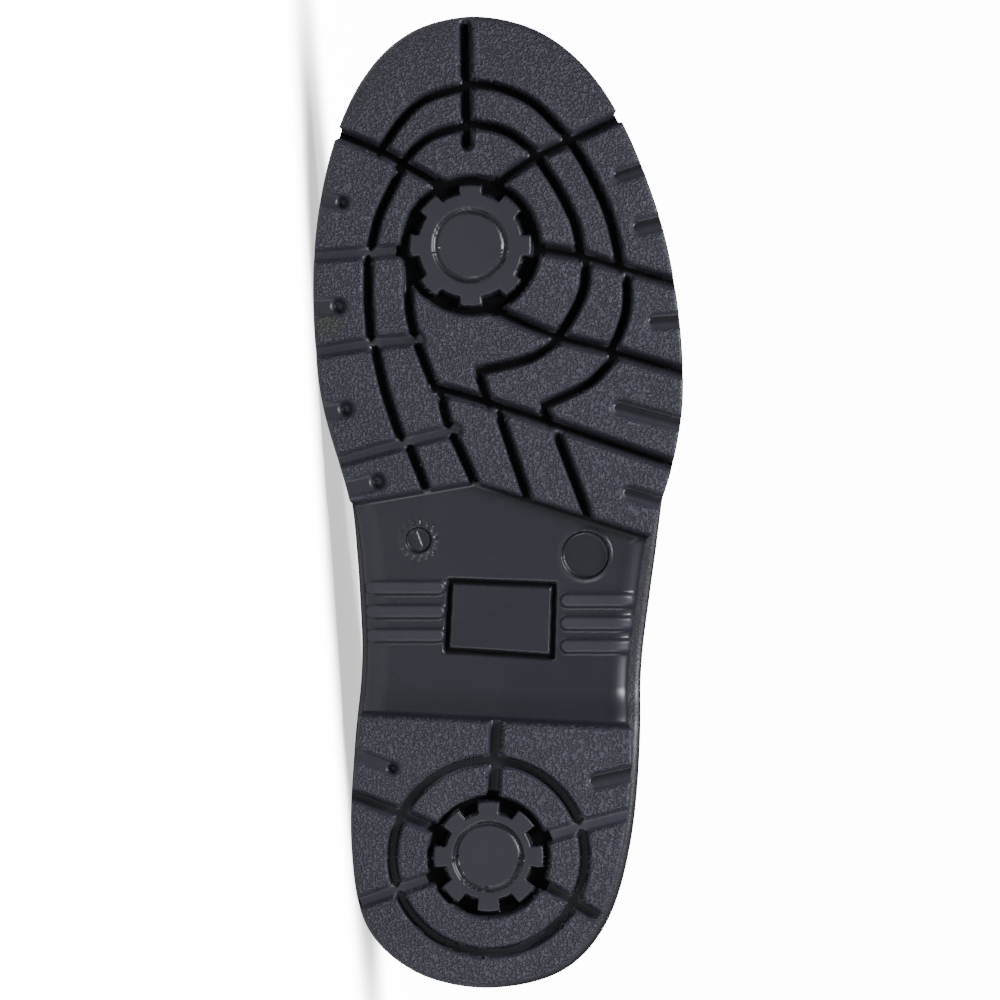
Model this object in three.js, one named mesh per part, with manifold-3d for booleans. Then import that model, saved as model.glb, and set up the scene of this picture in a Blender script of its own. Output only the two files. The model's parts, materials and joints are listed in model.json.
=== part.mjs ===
// A left lace-up safety boot, lying on its inner side. The boot is built standing, with +x from heel to toe, +y to
// its outer side and +z up from the plane of its tread, and is laid down at the end. Sizes are in millimetres.

import * as THREE from 'three';
import { mergeVertices } from 'three/addons/utils/BufferGeometryUtils.js';
import Module from 'manifold-3d';

const wasm = await Module();
wasm.setup();

const { clamp, degToRad, lerp, smoothstep } = THREE.MathUtils;

// Driving dimensions of the sole.
const soleLength = 300;
const ballWidth = 114;
const heelWidth = 88;
const heelHeight = 30;
const ballHeight = 19;
const toeSpring = 12;
const heelRoll = 2.5;
const treadDepth = 4;
const treadBevel = 1;
const archRise = 4.6;
const outsoleBase = 3.5;
const waistTuck = { inner: 0.6, outer: 3 };
const heelTuck = { inner: 0.4, outer: 2.4 };
const treadLip = 0.8;
const waistCorner = 1.6;
const rimInset = 0.9;
const stepInset = 1.8;
const midsoleSteps = [0.12, 0.34, 0.46, 0.86];
const slipGap = 0.3;

// Driving dimensions of the tread pattern.
const slitWidth = 4.2;
const radialWidth = 3.9;
const ringWidth = 3;
const linkWidth = 2.8;
const notchWidth = { narrow: 3.5, middle: 4.1, wide: 4.7 };
const notchDepth = 2.4;
const hubSink = 0.8;
const hubRecess = 1;
const hubDiscSink = 0.6;
const toothCount = 8;
const ballHub = { body: 16.3, teeth: 18.9, moat: 21.6, recess: 11.4, disc: 9.6 };
const heelHub = { body: 13.6, teeth: 17.1, moat: 18.8, recess: 10.5, disc: 9.7 };
const heelRingRadius = 29.5;
const barWidth = 3.9;
const barProud = 0.8;
const plateGroove = 1.4;
const plateGrooveDepth = 1.2;
const waistDisc = { radius: 7.1, depth: 1.4 };
const waistDial = { radius: 3.8, depth: 1 };

// Driving dimensions of the upper and what is in it.
const upperHeight = 120;
const ankleWidth = 80;
const leather = 2.4;
const quarterStep = 1.1;
const collarPad = 5;
const collarRound = 1.4;
const collarDip = 5;
const throatWidth = { bottom: 18, top: 27 };
const tongueThickness = 4.5;
const insoleThickness = 4;
const insoleGap = 0.8;
const eyeletPairs = 5;
const eyeletFromThroat = 9;
const eyelet = { hole: 4.4, barrel: 5.8, flange: 8.6, flangeThickness: 0.8, seat: 0.75 };
const laceDiameter = 3.8;
const laceGap = 0.6;

// Fineness of the meshes.
const outlineSteps = 32;
const upperSteps = 18;
const arcChord = 9;
const circleSides = 32;
const eyeletSides = 8;

const halfLocal = (along) => lerp(heelWidth, ballWidth, smoothstep(along, 0.3, 0.6)) / 2;

// The sole's edge every 15 degrees from the back of the heel to the tip of the toe, where the place along the sole
// is (1 - cos angle) / 2. Each edge is a share of half the sole's local width, out from the line y = 0.
const outlineRows = [
  { inner: 0.045, outer: -0.045 },
  { inner: 0.534, outer: 0.473 },
  { inner: 0.886, outer: 0.793 },
  { inner: 0.991, outer: 0.961 },
  { inner: 0.966, outer: 1.03 },
  { inner: 0.884, outer: 1.028 },
  { inner: 0.821, outer: 0.983 },
  { inner: 0.94, outer: 1.023 },
  { inner: 0.961, outer: 0.951 },
  { inner: 0.877, outer: 0.781 },
  { inner: 0.711, outer: 0.558 },
  { inner: 0.456, outer: 0.26 },
  { inner: 0.114, outer: -0.114 },
];

const alongAt = (angle) => (1 - Math.cos(angle)) / 2;

// The value between b and c on a smooth line through four evenly spaced values.
function smoothBetween(a, b, c, d, t) {
  return b + 0.5 * t * (c - a + t * (2 * a - 5 * b + 4 * c - d + t * (3 * (b - c) + d - a)));
}

// How far the sole's edge lies from y = 0, going round from the heel (0) by the outer side to the toe (pi) and back.
function edgeShare(angle) {
  const last = outlineRows.length - 1;
  const round = 2 * last;
  const place = (angle / Math.PI) * last;
  const first = Math.floor(place);
  const at = (i) => {
    const k = ((i % round) + round) % round;
    return k <= last ? outlineRows[k].outer : -outlineRows[round - k].inner;
  };
  return smoothBetween(at(first - 1), at(first), at(first + 1), at(first + 2), place - first);
}

// A point of the sole's outline, moved outwards by outset.
function outlinePoint(angle, outset = 0) {
  const at = (a) => new THREE.Vector2(alongAt(a) * soleLength, edgeShare(a) * halfLocal(alongAt(a)));
  const step = 1e-3;
  const tangent = at(angle + step).sub(at(angle - step)).normalize();
  return at(angle).add(new THREE.Vector2(-tangent.y, tangent.x).multiplyScalar(outset));
}

// Heights along the sole: the tread's face, the floor of its grooves and waist, the joint of outsole and midsole,
// and the top that carries the upper.
const treadFace = (along) =>
  toeSpring * clamp((along - 0.68) / 0.32, 0, 1) ** 2.2 + heelRoll * clamp((0.05 - along) / 0.05, 0, 1) ** 2;
const waistRise = (along) => archRise * smoothstep(along, 0.265, 0.31) * (1 - smoothstep(along, 0.33, 0.56));
const grooveFloor = (along) => treadFace(along) + treadDepth + waistRise(along);
const soleJoint = (along) => grooveFloor(along) + outsoleBase;
const soleTop = (along) =>
  lerp(heelHeight, ballHeight, smoothstep(along, 0.18, 0.62)) + 0.75 * toeSpring * clamp((along - 0.68) / 0.32, 0, 1) ** 2.2;

// How far the outsole stands in from the midsole's rim: not at all under the forefoot, and most on the outer side of
// the waist.
function outsoleTuck(along, angle) {
  const outward = smoothstep(Math.sin(angle), -0.5, 0.5);
  const heel = lerp(heelTuck.inner, heelTuck.outer, outward);
  const waist = lerp(waistTuck.inner, waistTuck.outer, outward);
  return lerp(heel, waist, smoothstep(along, 0.22, 0.3)) * (1 - smoothstep(along, 0.44, 0.54));
}

const facingOut = (geometry) => {
  const p = geometry.getAttribute('position');
  const corner = (i) => new THREE.Vector3().fromBufferAttribute(p, geometry.index.getX(i));
  let volume = 0;
  for (let i = 0; i < geometry.index.count; i += 3) volume += corner(i).dot(corner(i + 1).cross(corner(i + 2)));
  if (volume < 0) geometry.setIndex([...geometry.index.array].reverse());
  return geometry;
};

function meshGeometry(points, faces) {
  const geometry = new THREE.BufferGeometry().setFromPoints(points);
  return facingOut(geometry.setIndex(faces));
}

const soleEdge = (outset) => (angle) => outlinePoint(angle, outset(alongAt(angle), angle));

// A closed body of rings, each with its edge by the angle and its height by the place along the sole. The caps are
// strips across from side to side, so that they follow the height too.
function soleLoft(levels) {
  const round = 2 * outlineSteps;
  const points = [];
  const faces = [];
  for (const { edge, height } of levels) {
    for (let k = 0; k < round; k += 1) {
      const { x, y } = edge((Math.PI * k) / outlineSteps);
      points.push(new THREE.Vector3(x, y, height(x / soleLength)));
    }
  }
  for (let level = 0; level < levels.length - 1; level += 1) {
    for (let k = 0; k < round; k += 1) {
      const a = level * round + k;
      const b = level * round + ((k + 1) % round);
      faces.push(a, b, b + round, a, b + round, a + round);
    }
  }
  const cap = (first, order) => {
    for (let k = 0; k < outlineSteps; k += 1) {
      const [a, b] = [first + k, first + k + 1];
      const [c, d] = [first + ((round - k - 1) % round), first + ((round - k) % round)];
      if (k < outlineSteps - 1) faces.push(...order(a, b, c));
      if (k > 0) faces.push(...order(a, c, d));
    }
  };
  cap(0, (a, b, c) => [a, c, b]);
  cap((levels.length - 1) * round, (a, b, c) => [a, b, c]);
  return meshGeometry(points, faces);
}

function solid(geometry) {
  const bare = new THREE.BufferGeometry().setAttribute('position', geometry.getAttribute('position'));
  const merged = mergeVertices(bare.setIndex(geometry.index), 1e-3);
  return new wasm.Manifold(
    new wasm.Mesh({
      numProp: 3,
      vertProperties: merged.attributes.position.array,
      triVerts: new Uint32Array(merged.index.array),
    }),
  );
}

function geometryOf(body) {
  const { vertProperties, triVerts } = body.getMesh();
  const geometry = new THREE.BufferGeometry().setAttribute('position', new THREE.BufferAttribute(vertProperties, 3));
  return geometry.setIndex(new THREE.BufferAttribute(triVerts, 1));
}

// A prism over a flat outline, from one height to another.
function prism(outline, from, to) {
  const geometry = new THREE.ExtrudeGeometry(new THREE.Shape(outline), { depth: to - from, bevelEnabled: false });
  return solid(geometry.translate(0, 0, from));
}

const polar = (centre, radius, angle) =>
  new THREE.Vector2(centre.x + radius * Math.cos(angle), centre.y + radius * Math.sin(angle));

const circle = (centre, radius, sides = circleSides) =>
  Array.from({ length: sides }, (_, i) => polar(centre, radius, (2 * Math.PI * i) / sides));

// The outline of a strip of one width along a smooth line, with round ends.
function strip(line, width) {
  const curve = new THREE.SplineCurve(line);
  const steps = line.length === 2 ? 1 : Math.max(2, Math.ceil(curve.getLength() / arcChord));
  const points = curve.getPoints(steps);
  const headings = points.map((_, i) => {
    const along = points[Math.min(i + 1, steps)].clone().sub(points[Math.max(i - 1, 0)]);
    return Math.atan2(along.y, along.x);
  });
  const side = (i, turn) => polar(points[i], width / 2, headings[i] + turn);
  const right = points.map((_, i) => side(i, -Math.PI / 2));
  const left = points.map((_, i) => side(i, Math.PI / 2)).reverse();
  const quarter = Math.PI / 4;
  const cap = (i, turn) => [-1, 0, 1].map((k) => side(i, turn + k * quarter));
  return [...right, ...cap(steps, 0), ...left, ...cap(0, Math.PI)];
}

// A place on the tread: a share of the sole's length from the heel, and of half its width at the ball or the heel.
const atBall = ([along, across]) => new THREE.Vector2(along * soleLength, (across * ballWidth) / 2);
const atHeel = ([along, across]) => new THREE.Vector2(along * soleLength, (across * heelWidth) / 2);
const ballHubCentre = atBall([0.762, -0.12]);
const heelHubCentre = atHeel([0.138, -0.03]);

// Grooves of the forefoot, cut through the tread down to its floor.
const forefootGrooves = [
  { name: 'toe slit', width: slitWidth, line: [[0.99, -0.15], [0.867, -0.14]] },
  { name: 'outer ring, inner toe', width: linkWidth, line: [[0.927, -0.14], [0.914, -0.36], [0.892, -0.49], [0.858, -0.61]] },
  { name: 'outer ring, outer toe', width: ringWidth, line: [[0.929, -0.14], [0.925, 0.03], [0.907, 0.23], [0.869, 0.42]] },
  { name: 'outer ring, outer ball', width: ringWidth, line: [[0.869, 0.42], [0.837, 0.52], [0.79, 0.63], [0.739, 0.69]] },
  { name: 'outer ring, outer tread', width: linkWidth, line: [[0.728, 0.72], [0.701, 0.72], [0.678, 0.69], [0.653, 0.63]] },
  { name: 'outer ring, inner ball', width: linkWidth, line: [[0.845, -0.48], [0.811, -0.57], [0.788, -0.62], [0.755, -0.66]] },
  { name: 'outer ring, inner tread', width: linkWidth, line: [[0.755, -0.67], [0.722, -0.67], [0.691, -0.665], [0.66, -0.65]] },
  { name: 'inner row, upper', width: linkWidth, line: [[0.66, -0.635], [0.621, -0.59], [0.593, -0.545], [0.56, -0.485]] },
  { name: 'inner row, lower', width: linkWidth, line: [[0.56, -0.455], [0.529, -0.39], [0.49, -0.31]] },
  { name: 'inner ring, inner toe', width: linkWidth, line: [[0.886, -0.14], [0.878, -0.3], [0.866, -0.4], [0.842, -0.51]] },
  { name: 'inner ring, outer toe', width: ringWidth, line: [[0.888, -0.14], [0.882, 0.03], [0.871, 0.14], [0.85, 0.26]] },
  { name: 'inner ring, outer ball', width: ringWidth, line: [[0.85, 0.25], [0.824, 0.34], [0.803, 0.4], [0.78, 0.45], [0.75, 0.475]] },
  { name: 'inner ring, outer tread', width: ringWidth, line: [[0.742, 0.5], [0.719, 0.49], [0.696, 0.44], [0.668, 0.35]] },
  { name: 'spoke, inner toe', width: radialWidth, line: [[0.884, -0.92], [0.858, -0.59], [0.845, -0.47], [0.82, -0.24]] },
  { name: 'spoke, outer toe', width: radialWidth, line: [[0.903, 0.77], [0.869, 0.4], [0.848, 0.18], [0.812, -0.08]] },
  { name: 'spoke, inner side', width: radialWidth, line: [[0.749, -1.1], [0.755, -0.66], [0.758, -0.35]] },
  { name: 'spoke, outer side', width: radialWidth, line: [[0.763, 0.14], [0.751, 0.48], [0.739, 0.7], [0.716, 1.12]] },
  { name: 'cross groove, inner ball', width: radialWidth, line: [[0.648, -1.1], [0.662, -0.65], [0.666, -0.4]] },
  { name: 'cross groove, outer ball', width: radialWidth, line: [[0.708, -0.12], [0.672, 0.3], [0.655, 0.62], [0.627, 1.12]] },
  { name: 'long cross groove', width: radialWidth, line: [[0.618, -0.32], [0.602, -0.03], [0.584, 0.26], [0.561, 0.61], [0.528, 1.12]] },
  { name: 'cross groove, inner tread', width: radialWidth, line: [[0.527, -1.1], [0.561, -0.47], [0.574, -0.2]] },
  { name: 'centre row, upper', width: linkWidth, line: [[0.757, -0.45], [0.7, -0.45], [0.66, -0.4], [0.616, -0.31]] },
  { name: 'centre row, lower', width: linkWidth, line: [[0.612, -0.28], [0.58, -0.24], [0.551, -0.17], [0.5, -0.05]] },
  { name: 'first hook, bow', width: linkWidth, line: [[0.667, 0.36], [0.65, 0.23], [0.642, 0.11], [0.634, -0.08]] },
  { name: 'first hook, barb', width: linkWidth, line: [[0.634, -0.08], [0.6, -0.02]] },
  { name: 'second hook, bow', width: linkWidth, line: [[0.65, 0.66], [0.625, 0.54], [0.611, 0.41], [0.599, 0.27]] },
  { name: 'second hook, barb', width: linkWidth, line: [[0.599, 0.27], [0.58, 0.31]] },
  { name: 'rear slit, middle', width: linkWidth, line: [[0.59, 0.035], [0.553, 0.1], [0.49, 0.215]] },
  { name: 'rear slit, outer', width: linkWidth, line: [[0.567, 0.35], [0.527, 0.43], [0.465, 0.555]] },
];

// Grooves of the heel.
const heelGrooves = [
  { name: 'breast slit', width: slitWidth, line: [[0.3, 0.03], [0.19, 0]] },
  { name: 'spoke, inner breast', width: radialWidth, line: [[0.212, -1.18], [0.182, -0.65], [0.16, -0.3]] },
  { name: 'spoke, outer breast', width: radialWidth, line: [[0.19, 1.18], [0.169, 0.62], [0.152, 0.25]] },
  { name: 'spoke, inner back', width: radialWidth, line: [[0.078, -1.18], [0.104, -0.68], [0.122, -0.3]] },
  { name: 'spoke, outer back', width: radialWidth, line: [[0.048, 1.05], [0.092, 0.55], [0.12, 0.24]] },
];

// Short shallow notches in the edge of the tread, each from the edge inwards.
const edgeNotches = [
  { width: notchWidth.middle, place: atBall, line: [[0.816, -1.12], [0.806, -0.81]] },
  { width: notchWidth.wide, place: atBall, line: [[0.697, -1.12], [0.7, -0.83]] },
  { width: notchWidth.wide, place: atBall, line: [[0.584, -1.1], [0.595, -0.79]] },
  { width: notchWidth.wide, place: atBall, line: [[0.5, -1.08], [0.521, -0.62]] },
  { width: notchWidth.narrow, place: atBall, line: [[0.834, 0.68], [0.855, 1.02]] },
  { width: notchWidth.wide, place: atBall, line: [[0.781, 0.79], [0.796, 1.12]] },
  { width: notchWidth.middle, place: atBall, line: [[0.684, 0.87], [0.688, 1.15]] },
  { width: notchWidth.middle, place: atBall, line: [[0.596, 0.68], [0.573, 1.14]] },
  { width: notchWidth.middle, place: atBall, line: [[0.509, 0.73], [0.487, 1.12]] },
  { width: notchWidth.narrow, place: atHeel, line: [[0.253, -1.15], [0.228, -0.7]] },
  { width: notchWidth.middle, place: atHeel, line: [[0.215, 0.72], [0.231, 1.2]] },
];

// The waist between heel and forefoot: the edges of the two treads, and what is moulded on it.
const foreEdge = [[0.486, -1.2], [0.522, -0.1], [0.445, 1.2]];
const heelEdge = [[0.266, 1.3], [0.275, 0], [0.284, -1.3]];
const innerBars = { across: [-0.63, -0.27], along: [0.412, 0.3875, 0.363] };
const outerBars = { across: [0.39, 0.71], along: [0.399, 0.3755, 0.352] };
const plateCorners = [[0.419, -0.23], [0.415, 0.33], [0.341, 0.32], [0.348, -0.25]];
const waistDiscPlace = [0.446, 0.5];
const waistDialPlace = [0.461, -0.4];

// Ends of a cutter that goes right through a piece, in height and out from the form.
const farBelow = -20;
const farAbove = 60;
const farOut = 12;

// Lifts a body that was made on a flat tread by the tread's own rise under each of its points.
function followTread(body) {
  const geometry = geometryOf(body);
  const p = geometry.getAttribute('position');
  for (let i = 0; i < p.count; i += 1) p.setZ(i, p.getZ(i) + treadFace(p.getX(i) / soleLength));
  return solid(geometry);
}

// The wheel in the middle of a tread: a toothed rim round a sunk disc.
function treadHub(centre, radii) {
  const pitch = (2 * Math.PI) / toothCount;
  const rim = [];
  for (let i = 0; i < toothCount; i += 1) {
    for (const [radius, turn] of [[radii.teeth, -0.2], [radii.teeth, 0.2], [radii.body, 0.24], [radii.body, 0.76]]) {
      rim.push(polar(centre, radius, (i + turn) * pitch));
    }
  }
  const root = treadDepth + treadLip;
  return followTread(
    prism(rim, hubSink, root)
      .subtract(prism(circle(centre, radii.recess, 24), farBelow, hubSink + hubRecess))
      .add(prism(circle(centre, radii.disc, 24), hubSink + hubDiscSink, root)),
  );
}

// The patterned layer that touches the ground, in front of and behind the waist.
function tread() {
  const edge = (inset) => soleEdge((along, angle) => -outsoleTuck(along, angle) - inset);
  let layer = solid(
    soleLoft([
      { edge: edge(treadBevel), height: treadFace },
      { edge: edge(0), height: (along) => treadFace(along) + treadBevel },
      { edge: edge(0), height: (along) => treadFace(along) + treadDepth + treadLip },
    ]),
  );
  layer = layer.subtract(prism([...foreEdge.map(atBall), ...heelEdge.map(atHeel)], farBelow, farAbove));
  const cut = (outline) => {
    layer = layer.subtract(prism(outline, farBelow, farAbove));
  };
  for (const { width, line } of forefootGrooves) cut(strip(line.map(atBall), width));
  for (const { width, line } of heelGrooves) cut(strip(line.map(atHeel), width));
  cut(circle(ballHubCentre, ballHub.moat));
  cut(circle(heelHubCentre, heelHub.moat));
  const ring = (radius) => prism(circle(heelHubCentre, radius), farBelow, farAbove);
  return layer.subtract(ring(heelRingRadius + ringWidth / 2).subtract(ring(heelRingRadius - ringWidth / 2)));
}

// Bars, framed plate, disc and dial of the waist.
function waistMouldings(body) {
  let made = body;
  const sunk = (place, depth) => grooveFloor(place[0]) + depth;
  for (const { across, along } of [innerBars, outerBars]) {
    for (const place of along) {
      const line = across.map((share) => atBall([place, share]));
      made = made.add(prism(strip(line, barWidth), grooveFloor(place) - barProud, grooveFloor(place) + treadLip));
    }
  }
  const corners = plateCorners.map(atBall);
  const middle = corners.reduce((sum, p) => sum.add(p), new THREE.Vector2()).divideScalar(corners.length);
  const inner = corners.map((p) => p.clone().add(middle.clone().sub(p).normalize().multiplyScalar(plateGroove * Math.SQRT2)));
  const plateFloor = grooveFloor(middle.x / soleLength) + plateGrooveDepth;
  made = made.subtract(prism(corners, farBelow, plateFloor).subtract(prism(inner, farBelow - 1, farAbove)));
  made = made.subtract(prism(circle(atBall(waistDiscPlace), waistDisc.radius, 20), farBelow, sunk(waistDiscPlace, waistDisc.depth)));
  return made.subtract(prism(circle(atBall(waistDialPlace), waistDial.radius, 12), farBelow, sunk(waistDialPlace, waistDial.depth)));
}

function outsole() {
  const edge = (inset) => soleEdge((along, angle) => -outsoleTuck(along, angle) - treadLip - inset);
  const base = solid(
    soleLoft([
      { edge: edge(waistCorner), height: grooveFloor },
      { edge: edge(0.3 * waistCorner), height: (along) => grooveFloor(along) + 0.3 * waistCorner },
      { edge: edge(0), height: (along) => grooveFloor(along) + waistCorner },
      { edge: edge(0), height: soleJoint },
    ]),
  );
  let made = waistMouldings(base)
    .add(tread())
    .add(treadHub(ballHubCentre, ballHub))
    .add(treadHub(heelHubCentre, heelHub));
  for (const { width, place, line } of edgeNotches) {
    const middle = place(line[1]).x / soleLength;
    made = made.subtract(prism(strip(line.map(place), width), farBelow, treadFace(middle) + notchDepth));
  }
  return made;
}

// The softer midsole between outsole and upper, with a rim low down and a step above it.
function midsole() {
  const level = (share, inset, foreInset = inset) => ({
    edge: soleEdge((along) => -lerp(inset, foreInset, smoothstep(along, 0.44, 0.54))),
    height: (along) => lerp(soleJoint(along) + slipGap, soleTop(along), share),
  });
  const [rimLow, rimHigh, stepFoot, stepHead] = midsoleSteps;
  return solid(
    soleLoft([
      level(0, rimInset + 1.2, rimInset + 1),
      level(rimLow, 0, rimInset),
      level(rimHigh, 0, rimInset),
      level(stepFoot, stepInset, stepInset + 0.4),
      level(stepHead, stepInset, stepInset + 0.4),
      level(1, stepInset + 1.2),
    ]),
  );
}

// The upper's rings, from its seat on the sole up to the collar, and one more above it for the tongue. A ring runs
// from a point at the back to one at the front: x is a share of the sole's length, and rise a share of the upper's
// height. Its width is the sole's outline shrunk to a share, an oval of a share of the ankle's width, or between.
const upperRows = [
  { backX: 0.022, backRise: 0, frontX: 0.978, frontRise: 0, outline: 0.925, ankle: 1, oval: 0 },
  { backX: 0.013, backRise: 0.08, frontX: 0.985, frontRise: 0.1, outline: 0.935, ankle: 1, oval: 0 },
  { backX: 0.01, backRise: 0.167, frontX: 0.97, frontRise: 0.208, outline: 0.9, ankle: 1, oval: 0.05 },
  { backX: 0.012, backRise: 0.25, frontX: 0.93, frontRise: 0.304, outline: 0.83, ankle: 1, oval: 0.12 },
  { backX: 0.017, backRise: 0.325, frontX: 0.87, frontRise: 0.375, outline: 0.76, ankle: 1, oval: 0.22 },
  { backX: 0.023, backRise: 0.4, frontX: 0.8, frontRise: 0.442, outline: 0.7, ankle: 0.97, oval: 0.36 },
  { backX: 0.032, backRise: 0.475, frontX: 0.727, frontRise: 0.508, outline: 0.66, ankle: 0.94, oval: 0.52 },
  { backX: 0.038, backRise: 0.55, frontX: 0.657, frontRise: 0.575, outline: 0.63, ankle: 0.92, oval: 0.7 },
  { backX: 0.043, backRise: 0.625, frontX: 0.593, frontRise: 0.644, outline: 0.6, ankle: 0.92, oval: 0.86 },
  { backX: 0.045, backRise: 0.7, frontX: 0.533, frontRise: 0.719, outline: 0.6, ankle: 0.93, oval: 0.97 },
  { backX: 0.045, backRise: 0.775, frontX: 0.487, frontRise: 0.805, outline: 0.6, ankle: 0.95, oval: 1 },
  { backX: 0.043, backRise: 0.85, frontX: 0.453, frontRise: 0.906, outline: 0.6, ankle: 0.98, oval: 1 },
  { backX: 0.04, backRise: 0.925, frontX: 0.43, frontRise: 1.017, outline: 0.6, ankle: 1.03, oval: 1 },
  { backX: 0.037, backRise: 1, frontX: 0.417, frontRise: 1.13, outline: 0.6, ankle: 1.04, oval: 1 },
  { backX: 0.033, backRise: 1.075, frontX: 0.407, frontRise: 1.242, outline: 0.6, ankle: 1.02, oval: 1 },
];
const collarRow = 13;
const throatRow = 6.9;

// One column of the rows at a height given in rows.
function upperColumn(name, row) {
  const last = upperRows.length - 1;
  const first = clamp(Math.floor(row), 0, last - 1);
  const at = (i) => {
    if (i < 0) return 2 * upperRows[0][name] - upperRows[1][name];
    if (i > last) return 2 * upperRows[last][name] - upperRows[last - 1][name];
    return upperRows[i][name];
  };
  return smoothBetween(at(first - 1), at(first), at(first + 1), at(first + 2), row - first);
}

// A point of the upper's outer form: angle goes round as on the sole, row goes up, offset is out along the normal.
function upperPoint(angle, row, offset = 0) {
  const at = (a, r) => {
    const share = alongAt(a);
    const x = soleLength * lerp(upperColumn('backX', r), upperColumn('frontX', r), share);
    const rise = upperHeight * lerp(upperColumn('backRise', r), upperColumn('frontRise', r), share);
    const dip = collarDip * Math.sin(a) ** 2 * clamp(r / collarRow, 0, 1) ** 6;
    const flat = edgeShare(a) * halfLocal(share) * upperColumn('outline', r);
    const oval = Math.sign(Math.sin(a)) * (1 - Math.abs(Math.cos(a)) ** 2.2) ** (1 / 2.2);
    const y = lerp(flat, (oval * upperColumn('ankle', r) * ankleWidth) / 2, upperColumn('oval', r));
    return new THREE.Vector3(x, y, soleTop(x / soleLength) + slipGap + rise - dip);
  };
  const place = at(angle, row);
  if (offset === 0) return place;
  const step = 0.01;
  const round = at(angle + step, row).sub(at(angle - step, row));
  const up = at(angle, row + step).sub(at(angle, row - step));
  const normal = up.cross(round);
  if (row <= 0) normal.z = 0;
  return place.addScaledVector(normal.normalize(), offset);
}

// A closed sheet with a thickness: outer and inner give its two faces at (u, v), each from 0 to 1. A wrapped sheet
// closes on itself in u.
function thickSheet(stepsRound, rows, wrap, outer, inner) {
  const columns = wrap ? stepsRound : stepsRound + 1;
  const points = [];
  for (const face of [outer, inner]) {
    for (const v of rows) {
      for (let i = 0; i < columns; i += 1) points.push(face(i / stepsRound, v));
    }
  }
  const faces = [];
  const quad = (a, b, c, d) => faces.push(a, b, c, a, c, d);
  const id = (face, j, i) => (face * rows.length + j) * columns + (i % columns);
  const top = rows.length - 1;
  for (let i = 0; i < stepsRound; i += 1) {
    for (let j = 0; j < top; j += 1) {
      quad(id(0, j, i), id(0, j, i + 1), id(0, j + 1, i + 1), id(0, j + 1, i));
      quad(id(1, j, i + 1), id(1, j, i), id(1, j + 1, i), id(1, j + 1, i + 1));
    }
    quad(id(1, 0, i), id(1, 0, i + 1), id(0, 0, i + 1), id(0, 0, i));
    quad(id(0, top, i), id(0, top, i + 1), id(1, top, i + 1), id(1, top, i));
  }
  if (!wrap) {
    for (let j = 0; j < top; j += 1) {
      quad(id(1, j, 0), id(0, j, 0), id(0, j + 1, 0), id(1, j + 1, 0));
      quad(id(0, j, stepsRound), id(1, j, stepsRound), id(1, j + 1, stepsRound), id(0, j + 1, stepsRound));
    }
  }
  return meshGeometry(points, faces);
}

// The angle at which the form is a given distance from the middle, on the outer side of the instep.
function angleAtHalfWidth(row, half) {
  let [low, high] = [Math.PI / 2, Math.PI];
  for (let i = 0; i < 30; i += 1) {
    const middle = (low + high) / 2;
    if (upperPoint(middle, row).y > half) low = middle;
    else high = middle;
  }
  return low;
}

const throatHalf = (row) => lerp(throatWidth.bottom, throatWidth.top, clamp((row - throatRow) / (collarRow - throatRow), 0, 1)) / 2;

// A piece of the form in front of an angle that changes with the row, between two offsets.
function frontPatch(steps, rows, angleOf, outerOffset, innerOffset) {
  const face = (offset) => (u, row) => {
    const edge = angleOf(row);
    return upperPoint(lerp(edge, 2 * Math.PI - edge, u), row, offset);
  };
  return thickSheet(steps, rows, false, face(outerOffset), face(innerOffset));
}

// How much of the collar's padding a place gets: none at the facings, all round the ankle.
const padShare = (angle) => 1 - smoothstep(Math.PI - Math.abs(angle - Math.PI), 1.9, 2.4);

function eyeletAngle(row) {
  return angleAtHalfWidth(row, throatHalf(row) + eyeletFromThroat);
}

const eyeletRows = Array.from({ length: eyeletPairs }, (_, i) => lerp(7.6, 12.1, i / (eyeletPairs - 1)));
const eyeletPlaces = eyeletRows.flatMap((row, i) => {
  const angle = eyeletAngle(row);
  return [
    { name: `eyelet_outer_${i + 1}`, angle, row },
    { name: `eyelet_inner_${i + 1}`, angle: 2 * Math.PI - angle, row },
  ];
});

// Turns a geometry made along +z to stand on the form, at an offset from it.
function standOnUpper(geometry, { angle, row }, offset) {
  const foot = upperPoint(angle, row, offset);
  const out = upperPoint(angle, row, offset + 1).sub(foot).normalize();
  const turn = new THREE.Quaternion().setFromUnitVectors(new THREE.Vector3(0, 0, 1), out);
  return geometry.applyQuaternion(turn).translate(foot.x, foot.y, foot.z);
}

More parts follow.
